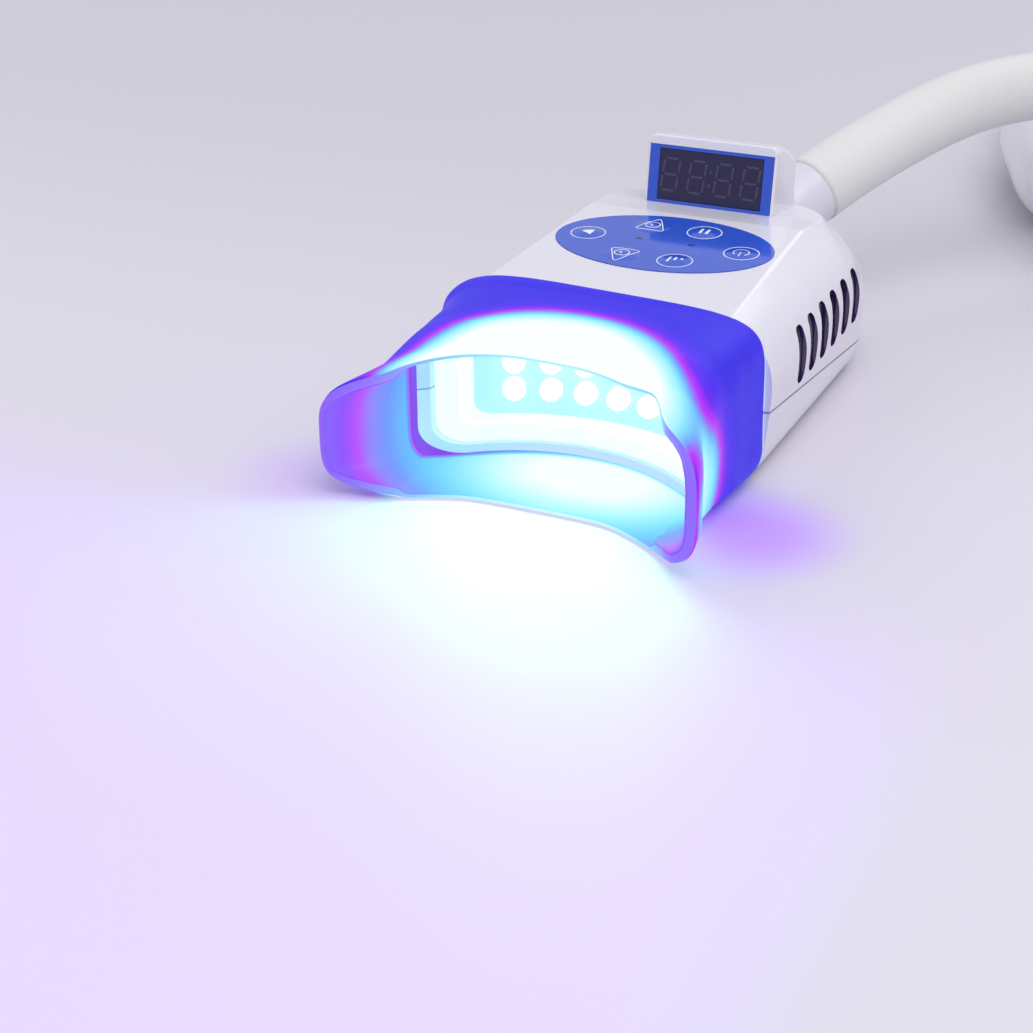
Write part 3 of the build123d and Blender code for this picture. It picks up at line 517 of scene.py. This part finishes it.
# soft domes in the film over the six keys, and their printed marks, read from behind the head
padLook = {
    "slope": 2.2, "headHeight": 44.0, "filmTop": 0.20, "keyTop": 0.65,
    "domeRadius": 4.95, "domeLift": 0.03, "domeFoot": 0.005, "domeSteps": 12, "domeTurns": 48,
    "domeWeld": 0.0005, "blendFoot": 0.2, "blendDrop": 0.25,
    "line": 0.17, "flatness": 0.3, "ring": 4.65, "ringSteps": 60,
    "power": {"radius": 2.1, "arc": (-50, 230), "steps": 30, "stemShare": 1.25, "stemEnd": 0.2},
    "play": {"corners": ((-1.6, 0.0), (1.1, 1.5), (1.1, -1.5), (-1.6, 0.0)), "line": 0.26,
             "shares": (1.0, 0.72, 0.44, 0.16)},
    "pause": {"sides": (-0.9, 0.9), "reach": 1.6, "line": 0.42},
    "level": {"feet": ((1.6, 0.5), (0.0, -0.6), (-1.6, -1.8)), "top": 1.5, "line": 0.38},
    "clock": {"dial": 2.0, "steps": 28, "hands": (0.6, 0.5), "corner": 0.9,
              "triangle": ((-4.3, 3.3), (4.3, 3.3), (0.0, -6.2))},
    "places": {"key_power": (21.7, 0.0), "key_play": (-21.7, 0.0), "key_pause": (7.4, 11.2),
               "key_level": (7.4, -11.2), "key_time_up": (-7.4, 11.2), "key_time_down": (-7.4, -11.2)},
}


def padFrame(look, x, y, rise):
    tilt = radians(look["slope"])
    normal = Vector((0, -sin(tilt), cos(tilt)))
    across, up = Vector((1, 0, 0)), Vector((0, cos(tilt), sin(tilt)))
    origin = Vector((x, y * cos(tilt), look["headHeight"] + y * sin(tilt))) + normal * rise
    turn = Matrix((across, up, normal)).transposed().to_4x4()
    return Matrix.Translation(origin * mm) @ turn


def domeHeight(look, radius):
    share = min(radius / look["domeRadius"], 1.0)
    rise = look["keyTop"] - look["filmTop"] - look["domeLift"]
    return look["domeLift"] + rise * (0.5 + 0.5 * cos(pi * share))


def sortFaces(bm):  # a spin lays its faces in no fixed order
    count = len(bm.verts)
    bm.verts.index_update()

    def order(face):
        indices = [vert.index for vert in face.verts]
        return min(indices) * count + max(indices)

    bm.faces.sort(key=order)


def makeDome(name, look, frameMatrix):
    bm = bmesh.new()
    steps, foot = look["domeSteps"], look["domeFoot"]
    radii = [look["domeRadius"] * (1 - k / steps) for k in range(steps)] + [0]
    profile = [bm.verts.new((0, 0, foot)), bm.verts.new((look["domeRadius"], 0, foot))]
    profile += [bm.verts.new((radius, 0, domeHeight(look, radius))) for radius in radii]
    edges = [bm.edges.new(pair) for pair in zip(profile, profile[1:])]
    bmesh.ops.spin(bm, geom=profile + edges, axis=(0, 0, 1), cent=(0, 0, 0), angle=2 * pi,
                   steps=look["domeTurns"], use_merge=True)
    sortFaces(bm)
    weld(bm, look["domeWeld"])
    return placeMillimetres(name, bm, frameMatrix)


def clockMark(look, way):
    clock, line = look["clock"], look["line"]
    dial = clock["dial"]
    down, aside = (dial * share for share in clock["hands"])
    outline = roundedOutline([(x, y * way) for x, y in clock["triangle"]], clock["corner"])
    hands = [(0, -down), (0, 0), (-aside, 0)]
    return [(outline, line), (arcPoints(dial, 0, 360, clock["steps"]), line), (hands, line)]


def keySigns(look):
    line, power, play, pause, level = (look[key] for key in ("line", "power", "play", "pause", "level"))
    ring = (arcPoints(look["ring"], 0, 360, look["ringSteps"]), line)
    circle = (arcPoints(power["radius"], *power["arc"], power["steps"]), line)
    stem = ([(0, -power["radius"] * power["stemShare"]), (0, -power["stemEnd"])], line)
    nested = [([(x * share, y * share) for x, y in play["corners"]], play["line"])
              for share in play["shares"]]
    bars = [([(x, -pause["reach"]), (x, pause["reach"])], pause["line"]) for x in pause["sides"]]
    steps = [([(x, level["top"]), (x, foot)], level["line"]) for x, foot in level["feet"]]
    return {"key_power": [ring, circle, stem], "key_play": [ring] + nested,
            "key_pause": [ring] + bars, "key_level": [ring] + steps,
            "key_time_up": clockMark(look, -1), "key_time_down": clockMark(look, 1)}


def makeKeys(look):
    for key, strokes in keySigns(look).items():
        words = key.split("_")
        name = words[0] + "".join(word.capitalize() for word in words[1:])
        frameMatrix = padFrame(look, *look["places"][key], look["filmTop"])
        dome = makeDome(name + "Dome", look, frameMatrix)
        dome.data.materials.append(plastics["printedBlueFilm"])
        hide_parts(key)
        mark = markPiece(name + "Mark", strokes, frameMatrix, look["flatness"], drape=look)
        mark.data.materials.append(plastics["whiteInk"])
        for piece in (dome, mark):
            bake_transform(piece)
    print("key domes and marks made")


makeKeys(padLook)


# the unlit digits behind the smoked window
digitLook = {
    "foot": (0.0, 33.7, 44.0), "lean": 8.5, "lift": 8.1, "proud": 0.02, "flatness": 0.05,
    "height": 8.9, "width": 4.5, "pitch": 7.5, "slant": 0.10, "bar": 0.36, "gap": 0.55,
    "places": (-1.56, -0.52, 0.52, 1.56), "dotShare": 0.42, "dotWidth": 1.3,
}


def makeDigits(look):
    lean = radians(look["lean"])
    normal = Vector((0, -cos(lean), sin(lean)))
    up = Vector((0, sin(lean), cos(lean)))
    origin = Vector(look["foot"]) + up * look["lift"] + normal * look["proud"]
    turn = Matrix((Vector((1, 0, 0)), up, normal)).transposed().to_4x4()
    half, wide, gap, slant = look["height"] / 2, look["width"] / 2, look["gap"], look["slant"]
    strokes = []
    for digit in look["places"]:
        middle = digit * look["pitch"]
        for level in (-half, 0, half):
            strokes.append([(middle - wide + gap, level), (middle + wide - gap, level)])
        for side in (-wide, wide):
            for low, high in ((-half + gap, -gap), (gap, half - gap)):
                strokes.append([(middle + side, low), (middle + side, high)])
    lines = [([(x + y * slant, y) for x, y in line], look["bar"]) for line in strokes]
    rise = half * look["dotShare"]
    dots = [((y * slant, y), look["bar"] * look["dotWidth"]) for y in (-rise, rise)]
    place = Matrix.Translation(origin * mm) @ turn
    piece = markPiece("digitSegments", lines, place, look["flatness"], dots)
    piece.data.materials.append(plastics["greySegments"])
    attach(piece, "head")


makeDigits(digitLook)
print("display digits made")


# metals, each with the nodes that it paints
metalLook = {
    "turnedSteel": {"color": (0.66, 0.66, 0.68), "roughness": 0.22, "scale": 1500.0,
                    "nodes": ("ball_stud", "mounting_pin", "shell_screws")},
    "extrudedAluminium": {"color": (0.78, 0.79, 0.80), "roughness": 0.34, "scale": 900.0,
                          "nodes": ("heat_sink",)},
    "woundSteel": {"color": (0.60, 0.60, 0.62), "roughness": 0.35, "scale": 700.0, "nodes": ()},
}


def metalMaterial(name, look, grain):
    material, tree, shader = newMaterial(name, Metallic=1.0)
    lines = useGroup(tree, metalGroup, Point=objectPoint(tree), Scale=look["scale"])
    mask = lines.outputs["Mask"]
    dark = [value * grain["darkShare"] for value in look["color"]]
    tree.links.new(mixOut(tree, mask, dark, look["color"]), shader.inputs["Base Color"])
    roughOnto(tree, shader, mask, grain["roughSpan"], look["roughness"])
    bumpOnto(tree, shader, lines.outputs["Height"], *grain["bump"])
    return material


metals = {}
for metalName, metalValues in metalLook.items():
    metals[metalName] = metalMaterial(metalName, metalValues, grainLook)
    paint(metals[metalName], *metalValues["nodes"])


# circuit boards with faint copper tracks under green varnish
boardLook = {
    "coat": 0.4, "haze": 200.0, "roughness": (0.2, 0.25), "bump": (0.03, 0.5),
    "tracks": {"Color1": (0.012, 0.12, 0.05), "Color2": (0.016, 0.15, 0.06), "Mortar": (0.03, 0.22, 0.09),
               "Scale": 260.0, "Mortar Size": 0.05},
}


def boardMaterial(look):
    material, tree, shader = newMaterial("boardVarnish", Coat_Weight=look["coat"])
    point = objectPoint(tree)
    brick = addNode(tree, "ShaderNodeTexBrick")
    for key, value in {"Vector": point, **look["tracks"]}.items():
        feed(tree, brick.inputs[key], value)
    tree.links.new(brick.outputs["Color"], shader.inputs["Base Color"])
    roughOnto(tree, shader, noiseOut(tree, point, look["haze"]), *look["roughness"])
    bumpOnto(tree, shader, brick.outputs["Fac"], *look["bump"])
    return material


paint(boardMaterial(boardLook), "keypad_board", "led_board")


# light engine: the carrier and the frame are given a painted glow, the sources are lit
engineLook = {
    "litCarrier": {"color": (0.20, 0.40, 0.46), "shine": (0.50, 0.90, 0.95), "strength": 0.62,
                   "roughness": 0.4, "speckle": 160.0, "node": "led_carrier"},
    "litFrame": {"color": (0.42, 0.50, 0.54), "shine": (0.86, 0.98, 1.0), "strength": 0.85,
                 "roughness": 0.25, "speckle": 120.0, "node": "window_frame"},
    "litBlueSource": {"color": (0.55, 0.86, 1.0), "shine": (0.85, 0.98, 1.0), "strength": 3.0,
                      "roughness": 0.2, "speckle": 500.0, "node": "blue_leds"},
    "redSource": {"color": (0.75, 0.20, 0.20), "shine": (1.0, 0.85, 0.95), "strength": 1.2,
                  "roughness": 0.2, "speckle": 500.0, "node": "red_leds"},
}
speckLook = {"detail": 3.0, "shine": 0.82, "color": 0.9, "roughSpan": 0.15, "bump": (0.02, 0.3)}


def litMaterial(name, look, speck):
    material, tree, shader = newMaterial(name, Emission_Strength=look["strength"])
    cells = noiseOut(tree, objectPoint(tree), look["speckle"], speck["detail"])
    # the emission is painted glow on the carrier and the frame, and the own light of the sources
    for key, socket in (("shine", "Emission Color"), ("color", "Base Color")):
        dim = [value * speck[key] for value in look[key]]
        tree.links.new(mixOut(tree, cells, dim, look[key]), shader.inputs[socket])
    roughOnto(tree, shader, cells, speck["roughSpan"], look["roughness"])
    bumpOnto(tree, shader, cells, *speck["bump"])
    return material


for litName, litLook in engineLook.items():
    paint(litMaterial(litName, litLook, speckLook), litLook["node"])


# soft and clear surfaces: noise blends two colours, varies the roughness and gives the grain
softLook = {
    "clearPane": {
        "sockets": {"Alpha": 0.12, "Coat_Weight": 0.6, "IOR": 1.49},
        "colors": ((0.80, 0.95, 1.0), (0.95, 0.99, 1.0)), "patches": (70.0, 5.0, 0.6),
        "haze": (70.0, 5.0, 0.6), "roughness": (0.10, 0.03), "grain": (70.0, 5.0, 0.6),
        "bump": (0.01, 0.2)},
    "ivorySheath": {
        "sockets": {"Sheen_Weight": 0.2},
        "colors": ((0.66, 0.65, 0.63), (0.76, 0.755, 0.74)), "patches": (18.0, 3.0),
        "haze": (60.0,), "roughness": (0.2, 0.42), "grain": (420.0, 4.0, 0.6), "bump": (0.06, 0.5),
        "swell": (28.0, 1.0), "swellShare": 6.0},
    "leadJacket": {
        "sockets": {"Sheen_Weight": 0.1},
        "colors": ((0.60, 0.60, 0.60), (0.70, 0.70, 0.69)), "patches": (60.0,),
        "haze": (200.0,), "roughness": (0.2, 0.45), "grain": (900.0,), "bump": (0.02, 0.4)},
}


def softMaterial(name):
    look = softLook[name]
    material, tree, shader = newMaterial(name, **look["sockets"])
    point = objectPoint(tree)
    patches = noiseOut(tree, point, *look["patches"])
    tree.links.new(mixOut(tree, patches, *look["colors"]), shader.inputs["Base Color"])
    roughOnto(tree, shader, noiseOut(tree, point, *look["haze"]), *look["roughness"])
    height = noiseOut(tree, point, *look["grain"])
    if "swell" in look:
        swell = noiseOut(tree, point, *look["swell"])
        height = mathOut(tree, "MULTIPLY_ADD", swell, look["swellShare"], height)
    bumpOnto(tree, shader, height, *look["bump"])
    return material


paint(softMaterial("clearPane"), "front_window")
print("light engine painted")


# mouth shield: a sleeve pulled over the nose, which opens into two wings
# each station: depth, left and right half width, top, bottom,
# and the squareness of the left top, the right top and the base
# a pair of values is for the left and the right wing
shieldLook = {
    "stations": (
        (36.0, 46.0, 43.6, 44.3, 0.3, 4.2, 5.6, 9.0),
        (41.8, 45.7, 43.4, 44.2, 0.3, 4.2, 5.4, 9.0),
        (45.5, 43.6, 43.1, 43.8, 0.3, 4.0, 5.4, 9.0),
        (56.0, 42.2, 42.6, 43.7, 0.3, 3.8, 5.0, 8.0),
        (68.5, 42.2, 41.7, 43.3, 0.4, 3.6, 4.6, 7.0),
        (80.0, 46.5, 42.0, 39.6, 0.6, 2.8, 4.2, 6.0),
        (97.0, 55.6, 46.8, 36.6, 0.2, 2.6, 4.0, 4.6)),
    "cutMiddle": 79.2, "cutRadii": (66.0, 52.0), "tips": (93.0, 101.0),
    "topCorner": (13.0, 17.0), "cornerTop": (41.0, 37.5),
    "baseCorner": (7.0, 7.0), "cornerBase": (0.2, 0.2),
    "edgeStart": 60.0, "edgeStep": 0.25, "edgePasses": 3,
    "rear": 42.2, "overlap": 4.4, "overlapDepth": 43.0,
    "overlapFoot": 33.0, "overlapRise": 8.0, "overlapRight": 32.0, "overlapWidth": 64.0,
    "gripDepth": 44.0, "gripReach": 9.0, "gripSide": 0.8,
    "pinch": 0.9, "pinchHeight": 16.5, "pinchReach": 4.0,
    "swell": 0.6, "swellHeight": 9.0, "swellReach": 5.0,
    "thickness": 3.2, "thinShare": 0.36, "wingStart": 72.0, "wingWidth": 34.0, "wingFade": 16.0,
    "columns": 140, "rows": 30, "weld": 0.01,
}


def shieldSection(look, along):
    stations = look["stations"]
    for near, far in zip(stations, stations[1:]):
        if along <= far[0] or far is stations[-1]:
            share = (along - near[0]) / (far[0] - near[0])
            share = share * share * (3 - 2 * share) if 0 < share < 1 else share
            return [a + (b - a) * share for a, b in zip(near[1:], far[1:])]


def shieldPoint(look, turn, along):
    left, right, top, bottom, squareLeft, squareRight, squareBase = shieldSection(look, along)
    c, s = cos(turn), sin(turn)
    halfWidth, square = (right, squareRight) if c >= 0 else (left, squareLeft)
    if s < 0:
        square = squareBase
    x = halfWidth * abs(c) ** (2 / square) * (1 if c >= 0 else -1)
    z = (top + bottom) / 2 + (top - bottom) / 2 * abs(s) ** (2 / square) * (1 if s >= 0 else -1)
    if x > halfWidth * look["gripSide"]:  # the soft edge pulls in above the parting and swells below it
        near = max(0.0, 1 - abs(along - look["gripDepth"]) / look["gripReach"])
        x -= look["pinch"] * near * max(0.0, 1 - abs(z - look["pinchHeight"]) / look["pinchReach"])
        x += look["swell"] * near * max(0.0, 1 - abs(z - look["swellHeight"]) / look["swellReach"])
    return x, -along, z


def insideShield(look, x, y, z):
    side = x > 0
    radius = look["cutRadii"][side]
    if sqrt(x * x + (y + look["cutMiddle"] + radius) ** 2) < radius:
        return False
    tip = look["tips"][side]
    for corners, edges, way in (("topCorner", "cornerTop", 1), ("baseCorner", "cornerBase", -1)):
        corner, edge = look[corners][side], look[edges][side]
        over = (z - (edge - way * corner)) * way
        ahead = -y - (tip - corner)
        if over > 0 and ahead > 0 and over * over + ahead * ahead > corner * corner:
            return False
    return -y < tip


def shieldEdge(look, turn):
    along, step = look["edgeStart"], look["edgeStep"]
    while insideShield(look, *shieldPoint(look, turn, along + step)):
        along += step
    return along


def shieldRear(look, turn):  # the top left of the sleeve reaches further back
    x, _, z = shieldPoint(look, turn, look["overlapDepth"])
    upper = min(max((z - look["overlapFoot"]) / look["overlapRise"], 0), 1)
    leftward = min(max((look["overlapRight"] - x) / look["overlapWidth"], 0), 1)
    return look["rear"] - look["overlap"] * upper * leftward


def makeShield(look):
    columns, rows = look["columns"], look["rows"]
    turns = [2 * pi * column / (columns - 1) for column in range(columns - 1)]
    edges = [shieldEdge(look, turn) for turn in turns]
    for _ in range(look["edgePasses"]):
        edges = [(edges[k - 1] + 2 * edges[k] + edges[(k + 1) % len(edges)]) / 4 for k in range(len(edges))]
    rears = [shieldRear(look, turn) for turn in turns]
    bm = bmesh.new()
    bmesh.ops.create_grid(bm, x_segments=columns, y_segments=rows, size=0.5)
    for vert in bm.verts:  # the first and last column meet
        column = round((vert.co.x + 0.5) * (columns - 1)) % (columns - 1)
        along = rears[column] + (edges[column] - rears[column]) * (vert.co.y + 0.5)
        vert.co = Vector(shieldPoint(look, turns[column], along)) * mm
    weld(bm, look["weld"] * mm)
    piece = meshObject("mouthSleeve", bm)
    wing = piece.vertex_groups.new(name="wing")
    for vert in piece.data.vertices:
        ahead = -vert.co.y / mm - look["wingStart"]
        if ahead > 0 and abs(vert.co.x) > look["wingWidth"] * mm:
            wing.add([vert.index], min(ahead / look["wingFade"], 1.0), "REPLACE")
    solid = piece.modifiers.new("wall", "SOLIDIFY")
    solid.thickness = look["thickness"] * mm
    solid.offset = -1.0
    solid.vertex_group = "wing"
    solid.thickness_vertex_group = look["thinShare"]
    solid.material_offset = 1
    solid.material_offset_rim = 2
    smooth = piece.modifiers.new("soften", "SUBSURF")
    smooth.levels = smooth.render_levels = 1
    return piece


# the sleeve's glow is painted light, emitted by ramps over the glow distance; each ramp: the reach of its
# first and last end, then the reach and colour of each stop
siliconeLook = {
    "body": (0.020, 0.014, 0.24), "milk": (90.0, 4.0), "milkGain": 1.25, "specular": 0.22,
    "cloud": (45.0, 3.0), "cloudSpan": 0.03, "haze": (140.0, 4.0), "hazeSpan": 0.15,
    "roughness": {"outside": 0.40, "inside": 0.55, "rim": 0.55},
    "grain": 1500.0, "bump": (0.02, 0.25), "nearNose": (-3.5, -0.5), "noseShade": 0.42,
    "outside": (0.84, 1.14, (
        (0.87, (0.92, 0.98, 0.95)), (0.905, (0.55, 0.94, 0.85)), (0.935, (0.32, 0.86, 0.75)),
        (0.955, (0.19, 0.68, 0.70)), (0.972, (0.14, 0.42, 0.68)), (0.985, (0.26, 0.16, 0.66)),
        (1.0, (0.46, 0.01, 0.66)), (1.03, (0.13, 0.005, 0.62)), (1.07, (0.05, 0.008, 0.60)),
        (1.14, (0.020, 0.010, 0.52)))),
    "inside": (0.30, 1.30, (
        (0.34, (0.90, 0.98, 0.95)), (0.45, (0.60, 0.95, 0.88)), (0.54, (0.36, 0.88, 0.80)),
        (0.64, (0.20, 0.72, 0.76)), (0.74, (0.13, 0.55, 0.72)), (0.84, (0.15, 0.30, 0.70)),
        (0.93, (0.26, 0.20, 0.68)), (1.0, (0.46, 0.05, 0.66)), (1.08, (0.24, 0.06, 0.62)),
        (1.22, (0.20, 0.14, 0.62)))),
    "rim": (0.30, 1.30, (
        (0.42, (0.85, 0.98, 0.95)), (0.56, (0.60, 0.95, 0.88)), (0.70, (0.40, 0.88, 0.84)),
        (0.84, (0.22, 0.66, 0.80)), (0.98, (0.24, 0.30, 0.74)), (1.06, (0.26, 0.17, 0.70)),
        (1.12, (0.25, 0.14, 0.68)), (1.20, (0.26, 0.09, 0.66)))),
}


def siliconeMaterial(name, side, look):
    material, tree, shader = newMaterial(name, Emission_Strength=1.0, Specular_IOR_Level=look["specular"])
    point = objectPoint(tree)
    light = useGroup(tree, glowGroup, Point=point)
    span = look["cloudSpan"]
    cloud = mathOut(tree, "MULTIPLY_ADD", noiseOut(tree, point, *look["cloud"]), span, -span / 2)
    reach = mathOut(tree, "ADD", light.outputs["Outside" if side == "outside" else "Inside"], cloud)
    if side == "inside":  # painted shade: the nose shades the wall beside and behind it
        start, end = (value * mm for value in look["nearNose"])
        past = mathOut(tree, "SUBTRACT", light.outputs["Ahead"], start)
        share = mathOut(tree, "DIVIDE", past, end - start, clamp=True)
        shaded = mathOut(tree, "MULTIPLY", mathOut(tree, "SUBTRACT", 1.0, share), look["noseShade"])
        reach = mathOut(tree, "ADD", reach, shaded)
    low, high, stops = look[side]
    scaled = mathOut(tree, "DIVIDE", mathOut(tree, "SUBTRACT", reach, low), high - low, clamp=True)
    # painted light: the ramp's colour is emitted as the glow through the silicone
    shine = rampOut(tree, scaled, [((place - low) / (high - low), color) for place, color in stops])
    tree.links.new(shine, shader.inputs["Emission Color"])
    milky = [value * look["milkGain"] for value in look["body"]]
    milk = noiseOut(tree, point, *look["milk"])
    tree.links.new(mixOut(tree, milk, look["body"], milky), shader.inputs["Base Color"])
    roughOnto(tree, shader, noiseOut(tree, point, *look["haze"]), look["hazeSpan"], look["roughness"][side])
    bumpOnto(tree, shader, noiseOut(tree, point, look["grain"]), *look["bump"])
    return material


mouthSleeve = makeShield(shieldLook)
for sleeveSide in ("outside", "inside", "rim"):
    sleeveName = "blueSilicone" + sleeveSide.capitalize()
    mouthSleeve.data.materials.append(siliconeMaterial(sleeveName, sleeveSide, siliconeLook))
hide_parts("mouth_shield")
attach(mouthSleeve, "shield")
print("mouth sleeve made")


# the arm: its route is repeated from the part's source; shifts are counted along its two straight ends
armLook = {
    "ballCentre": (0.0, 48.0, 25.0), "neckYaw": 29.5, "neckPitch": 22.2,
    "seamReach": 36.5, "firstRun": 24.0,
    "points": ((58, 146, 60.5), (104, 184, 52), (146, 232, 28), (161, 282, 12.5),
               (160, 322, 10.5), (124, 360, 10.5), (74, 362, 10.5), (38, 326, 10.5)),
    "foot": (54.0, 246.0, 19.0), "footYaw": 18.4, "lastRun": 37.5,
    "sheathRadius": 10.25, "coreRadius": 6.3, "leadRadius": 2.8,
    "coreShifts": (4.0, 8.0), "leadStart": -45.0, "leadJoin": 8.0, "leadEnd": 110.0,
    "bevelSteps": 6, "runSteps": 24, "pinSteps": 4, "weld": 0.001,
    "bendStart": (0.026, 0.105, 0.046), "bendEnd": (0.090, 0.182, 0.062),
}


def footLine(look):
    turn = radians(look["footYaw"])
    return Vector(look["foot"]), Vector((sin(turn), -cos(turn), 0))


def armRoute(look, startShift, endShift):
    yaw, pitch = radians(look["neckYaw"]), radians(look["neckPitch"])
    neck = Vector((sin(yaw) * cos(pitch), cos(yaw) * cos(pitch), sin(pitch)))
    seam = Vector(look["ballCentre"]) + neck * look["seamReach"]
    end, foot = footLine(look)
    points = [seam + neck * startShift, seam + neck * look["firstRun"]]
    points += [Vector(point) for point in look["points"]]
    points += [end - foot * look["lastRun"], end + foot * endShift]
    return points


def armTube(name, look, points, radius, steps):
    bm = bmesh.new()
    metres = [point * mm for point in points]
    sweepInto(bm, metres, radius * mm, look["bevelSteps"], kind="NURBS", resolution=steps)
    weld(bm, look["weld"] * mm)
    return meshObject(name, bm, flatCaps=True)


def placeArmPiece(name, node, slotName, startShift, endShift, radius, material):
    piece = armTube(name, armLook, armRoute(armLook, startShift, endShift), radius, armLook["runSteps"])
    piece.data.materials.append(material)
    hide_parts(node)
    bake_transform(piece)


def placePinLead(look, material):  # the lead's last run, fixed inside the connector and its pin
    end, foot = footLine(look)
    shifts = (look["leadJoin"], (look["leadJoin"] + look["leadEnd"]) / 2, look["leadEnd"])
    points = [end + foot * shift for shift in shifts]
    piece = armTube("pinLead", look, points, look["leadRadius"], look["pinSteps"])
    piece.data.materials.append(material)
    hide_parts("supply_lead")
    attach(piece, "arm_base")


leadCoat = softMaterial("leadJacket")
placeArmPiece("armSheath", "gooseneck_sheath", "ivory_sheath", 0.0, 0.0,
              armLook["sheathRadius"], softMaterial("ivorySheath"))
placeArmPiece("armCore", "gooseneck_core", "core_steel", *armLook["coreShifts"],
              armLook["coreRadius"], metals["woundSteel"])
placeArmPiece("armLead", "supply_lead", "lead_jacket", armLook["leadStart"], armLook["leadJoin"],
              armLook["leadRadius"], leadCoat)
placePinLead(armLook, leadCoat)
paint(leadCoat, "lead_grommet")
print("arm made")


# stage: a pale floor, lighter towards the front, with painted lilac light ahead of the mouth and a painted
# violet glow beside the wings
stageLook = {
    "reach": 2.4, "roughness": 0.55, "cloud": (3.0, 2.0), "cloudSpan": 0.06,
    "far": (0.61, 0.595, 0.65), "near": (0.69, 0.66, 0.735), "paintedLightWash": (0.745, 0.64, 0.96),
    "farPlace": -250.0, "nearPlace": 60.0, "washStart": 70.0, "washEnd": 165.0,
    "washLeft": 80.0, "washRight": 125.0, "washNear": 280.0, "washFar": 800.0,
    "halo": (0.60, 0.33, 0.98), "haloFull": 5.0, "haloEnd": 31.0,
    "haloSpots": ((50.0, -71.0, 0.95), (-60.0, -84.0, 0.30)),
}


def makeStage(look):
    bm = bmesh.new()
    bmesh.ops.create_grid(bm, x_segments=1, y_segments=1, size=look["reach"])
    floor = meshObject("floor", bm)
    material, tree, shader = newMaterial("paleTable", Roughness=look["roughness"])
    point = objectPoint(tree)
    across, back, _ = splitOut(tree, point)
    ahead = mathOut(tree, "MULTIPLY", back, -1.0)
    nearby = slopeOut(tree, ahead, look["farPlace"], look["nearPlace"])
    forward = slopeOut(tree, ahead, look["washStart"], look["washEnd"])
    beside = slopeOut(tree, across, look["washRight"], look["washLeft"])
    fading = slopeOut(tree, vectorOut(tree, "LENGTH", point), look["washFar"], look["washNear"])
    # painted light: the lilac spill of the mouth's light on the floor ahead of it
    paintedWashShare = mathOut(tree, "MULTIPLY", mathOut(tree, "MULTIPLY", forward, beside), fading)
    span = look["cloudSpan"]
    cloud = mathOut(tree, "MULTIPLY_ADD", noiseOut(tree, point, *look["cloud"]), span, -span / 2)
    plain = mixOut(tree, mathOut(tree, "ADD", nearby, cloud, clamp=True), look["far"], look["near"])
    color = mixOut(tree, paintedWashShare, plain, look["paintedLightWash"])
    # painted light: violet spots of the silicone's glow on the floor beside the wings
    for x, y, share in look["haloSpots"]:
        gap = vectorOut(tree, "DISTANCE", point, (x * mm, y * mm, 0))
        halo = mathOut(tree, "MULTIPLY", slopeOut(tree, gap, look["haloEnd"], look["haloFull"]), share)
        color = mixOut(tree, halo, color, look["halo"])
    tree.links.new(color, shader.inputs["Base Color"])
    floor.data.materials.append(material)


makeStage(stageLook)


# light: three soft lamps, a wide sun, a pale world and the beam from the mouth
lightLook = {
    "world": (0.80, 0.80, 0.88), "worldStrength": 0.60, "seenStrength": 0.95,
    "aim": (0.02, 0.02, 0.02),
    "lamps": {"keyLamp": {"place": (0.5, -0.5, 1.0), "width": 0.9, "power": 5.4},
              "fillLamp": {"place": (-0.9, 0.2, 0.8), "width": 1.0, "power": 2.4},
              "backLamp": {"place": (0.2, 1.1, 0.9), "width": 0.8, "power": 2.2}},
    "sky": {"from": (0.3, -0.2, 1.0), "power": 0.66, "spread": 55.0},
    "beam": {"place": (0.0, -0.075, 0.029), "width": 0.060, "height": 0.018, "power": 0.055,
             "color": (0.30, 0.85, 1.0)},
    "beamAim": (0.0, -0.17, 0.0),
}


def aimLamp(name, aim, place, width, power, color=(1.0, 1.0, 1.0), height=None):
    data = bpy.data.lights.new(name, "AREA")
    data.size = width
    if height:
        data.shape = "RECTANGLE"
        data.size_y = height
    data.energy = power
    data.color = color
    lamp = bpy.data.objects.new(name, data)
    lamp.location = place
    lamp.rotation_euler = (Vector(aim) - Vector(place)).to_track_quat("-Z", "Y").to_euler()
    bpy.context.scene.collection.objects.link(lamp)
    return lamp


def makeWorld(look):  # paler where it is seen than where it lights
    world = bpy.data.worlds.new("paleWorld")
    world.use_nodes = True
    tree = world.node_tree
    background = tree.nodes["Background"]
    path = addNode(tree, "ShaderNodeLightPath")
    seen = mathOut(tree, "MAXIMUM", path.outputs["Is Camera Ray"], path.outputs["Is Transmission Ray"])
    unseen = look["worldStrength"]
    strength = mathOut(tree, "MULTIPLY_ADD", seen, look["seenStrength"] - unseen, unseen)
    feed(tree, background.inputs["Color"], look["world"])
    feed(tree, background.inputs["Strength"], strength)
    bpy.context.scene.world = world


def lightScene(look):
    makeWorld(look)
    for name, values in look["lamps"].items():
        aimLamp(name, look["aim"], **values)
    sky = bpy.data.objects.new("skyLamp", bpy.data.lights.new("skyLamp", "SUN"))
    sky.data.energy, sky.data.angle = look["sky"]["power"], radians(look["sky"]["spread"])
    sky.rotation_euler = Vector(look["sky"]["from"]).to_track_quat("Z", "Y").to_euler()
    bpy.context.scene.collection.objects.link(sky)
    beam = aimLamp("mouthBeam", look["beamAim"], **look["beam"])
    beam.visible_camera = False
    beam.parent = nodes["front_window"]  # the light moves with the head


lightScene(lightLook)
print("stage and lights made")
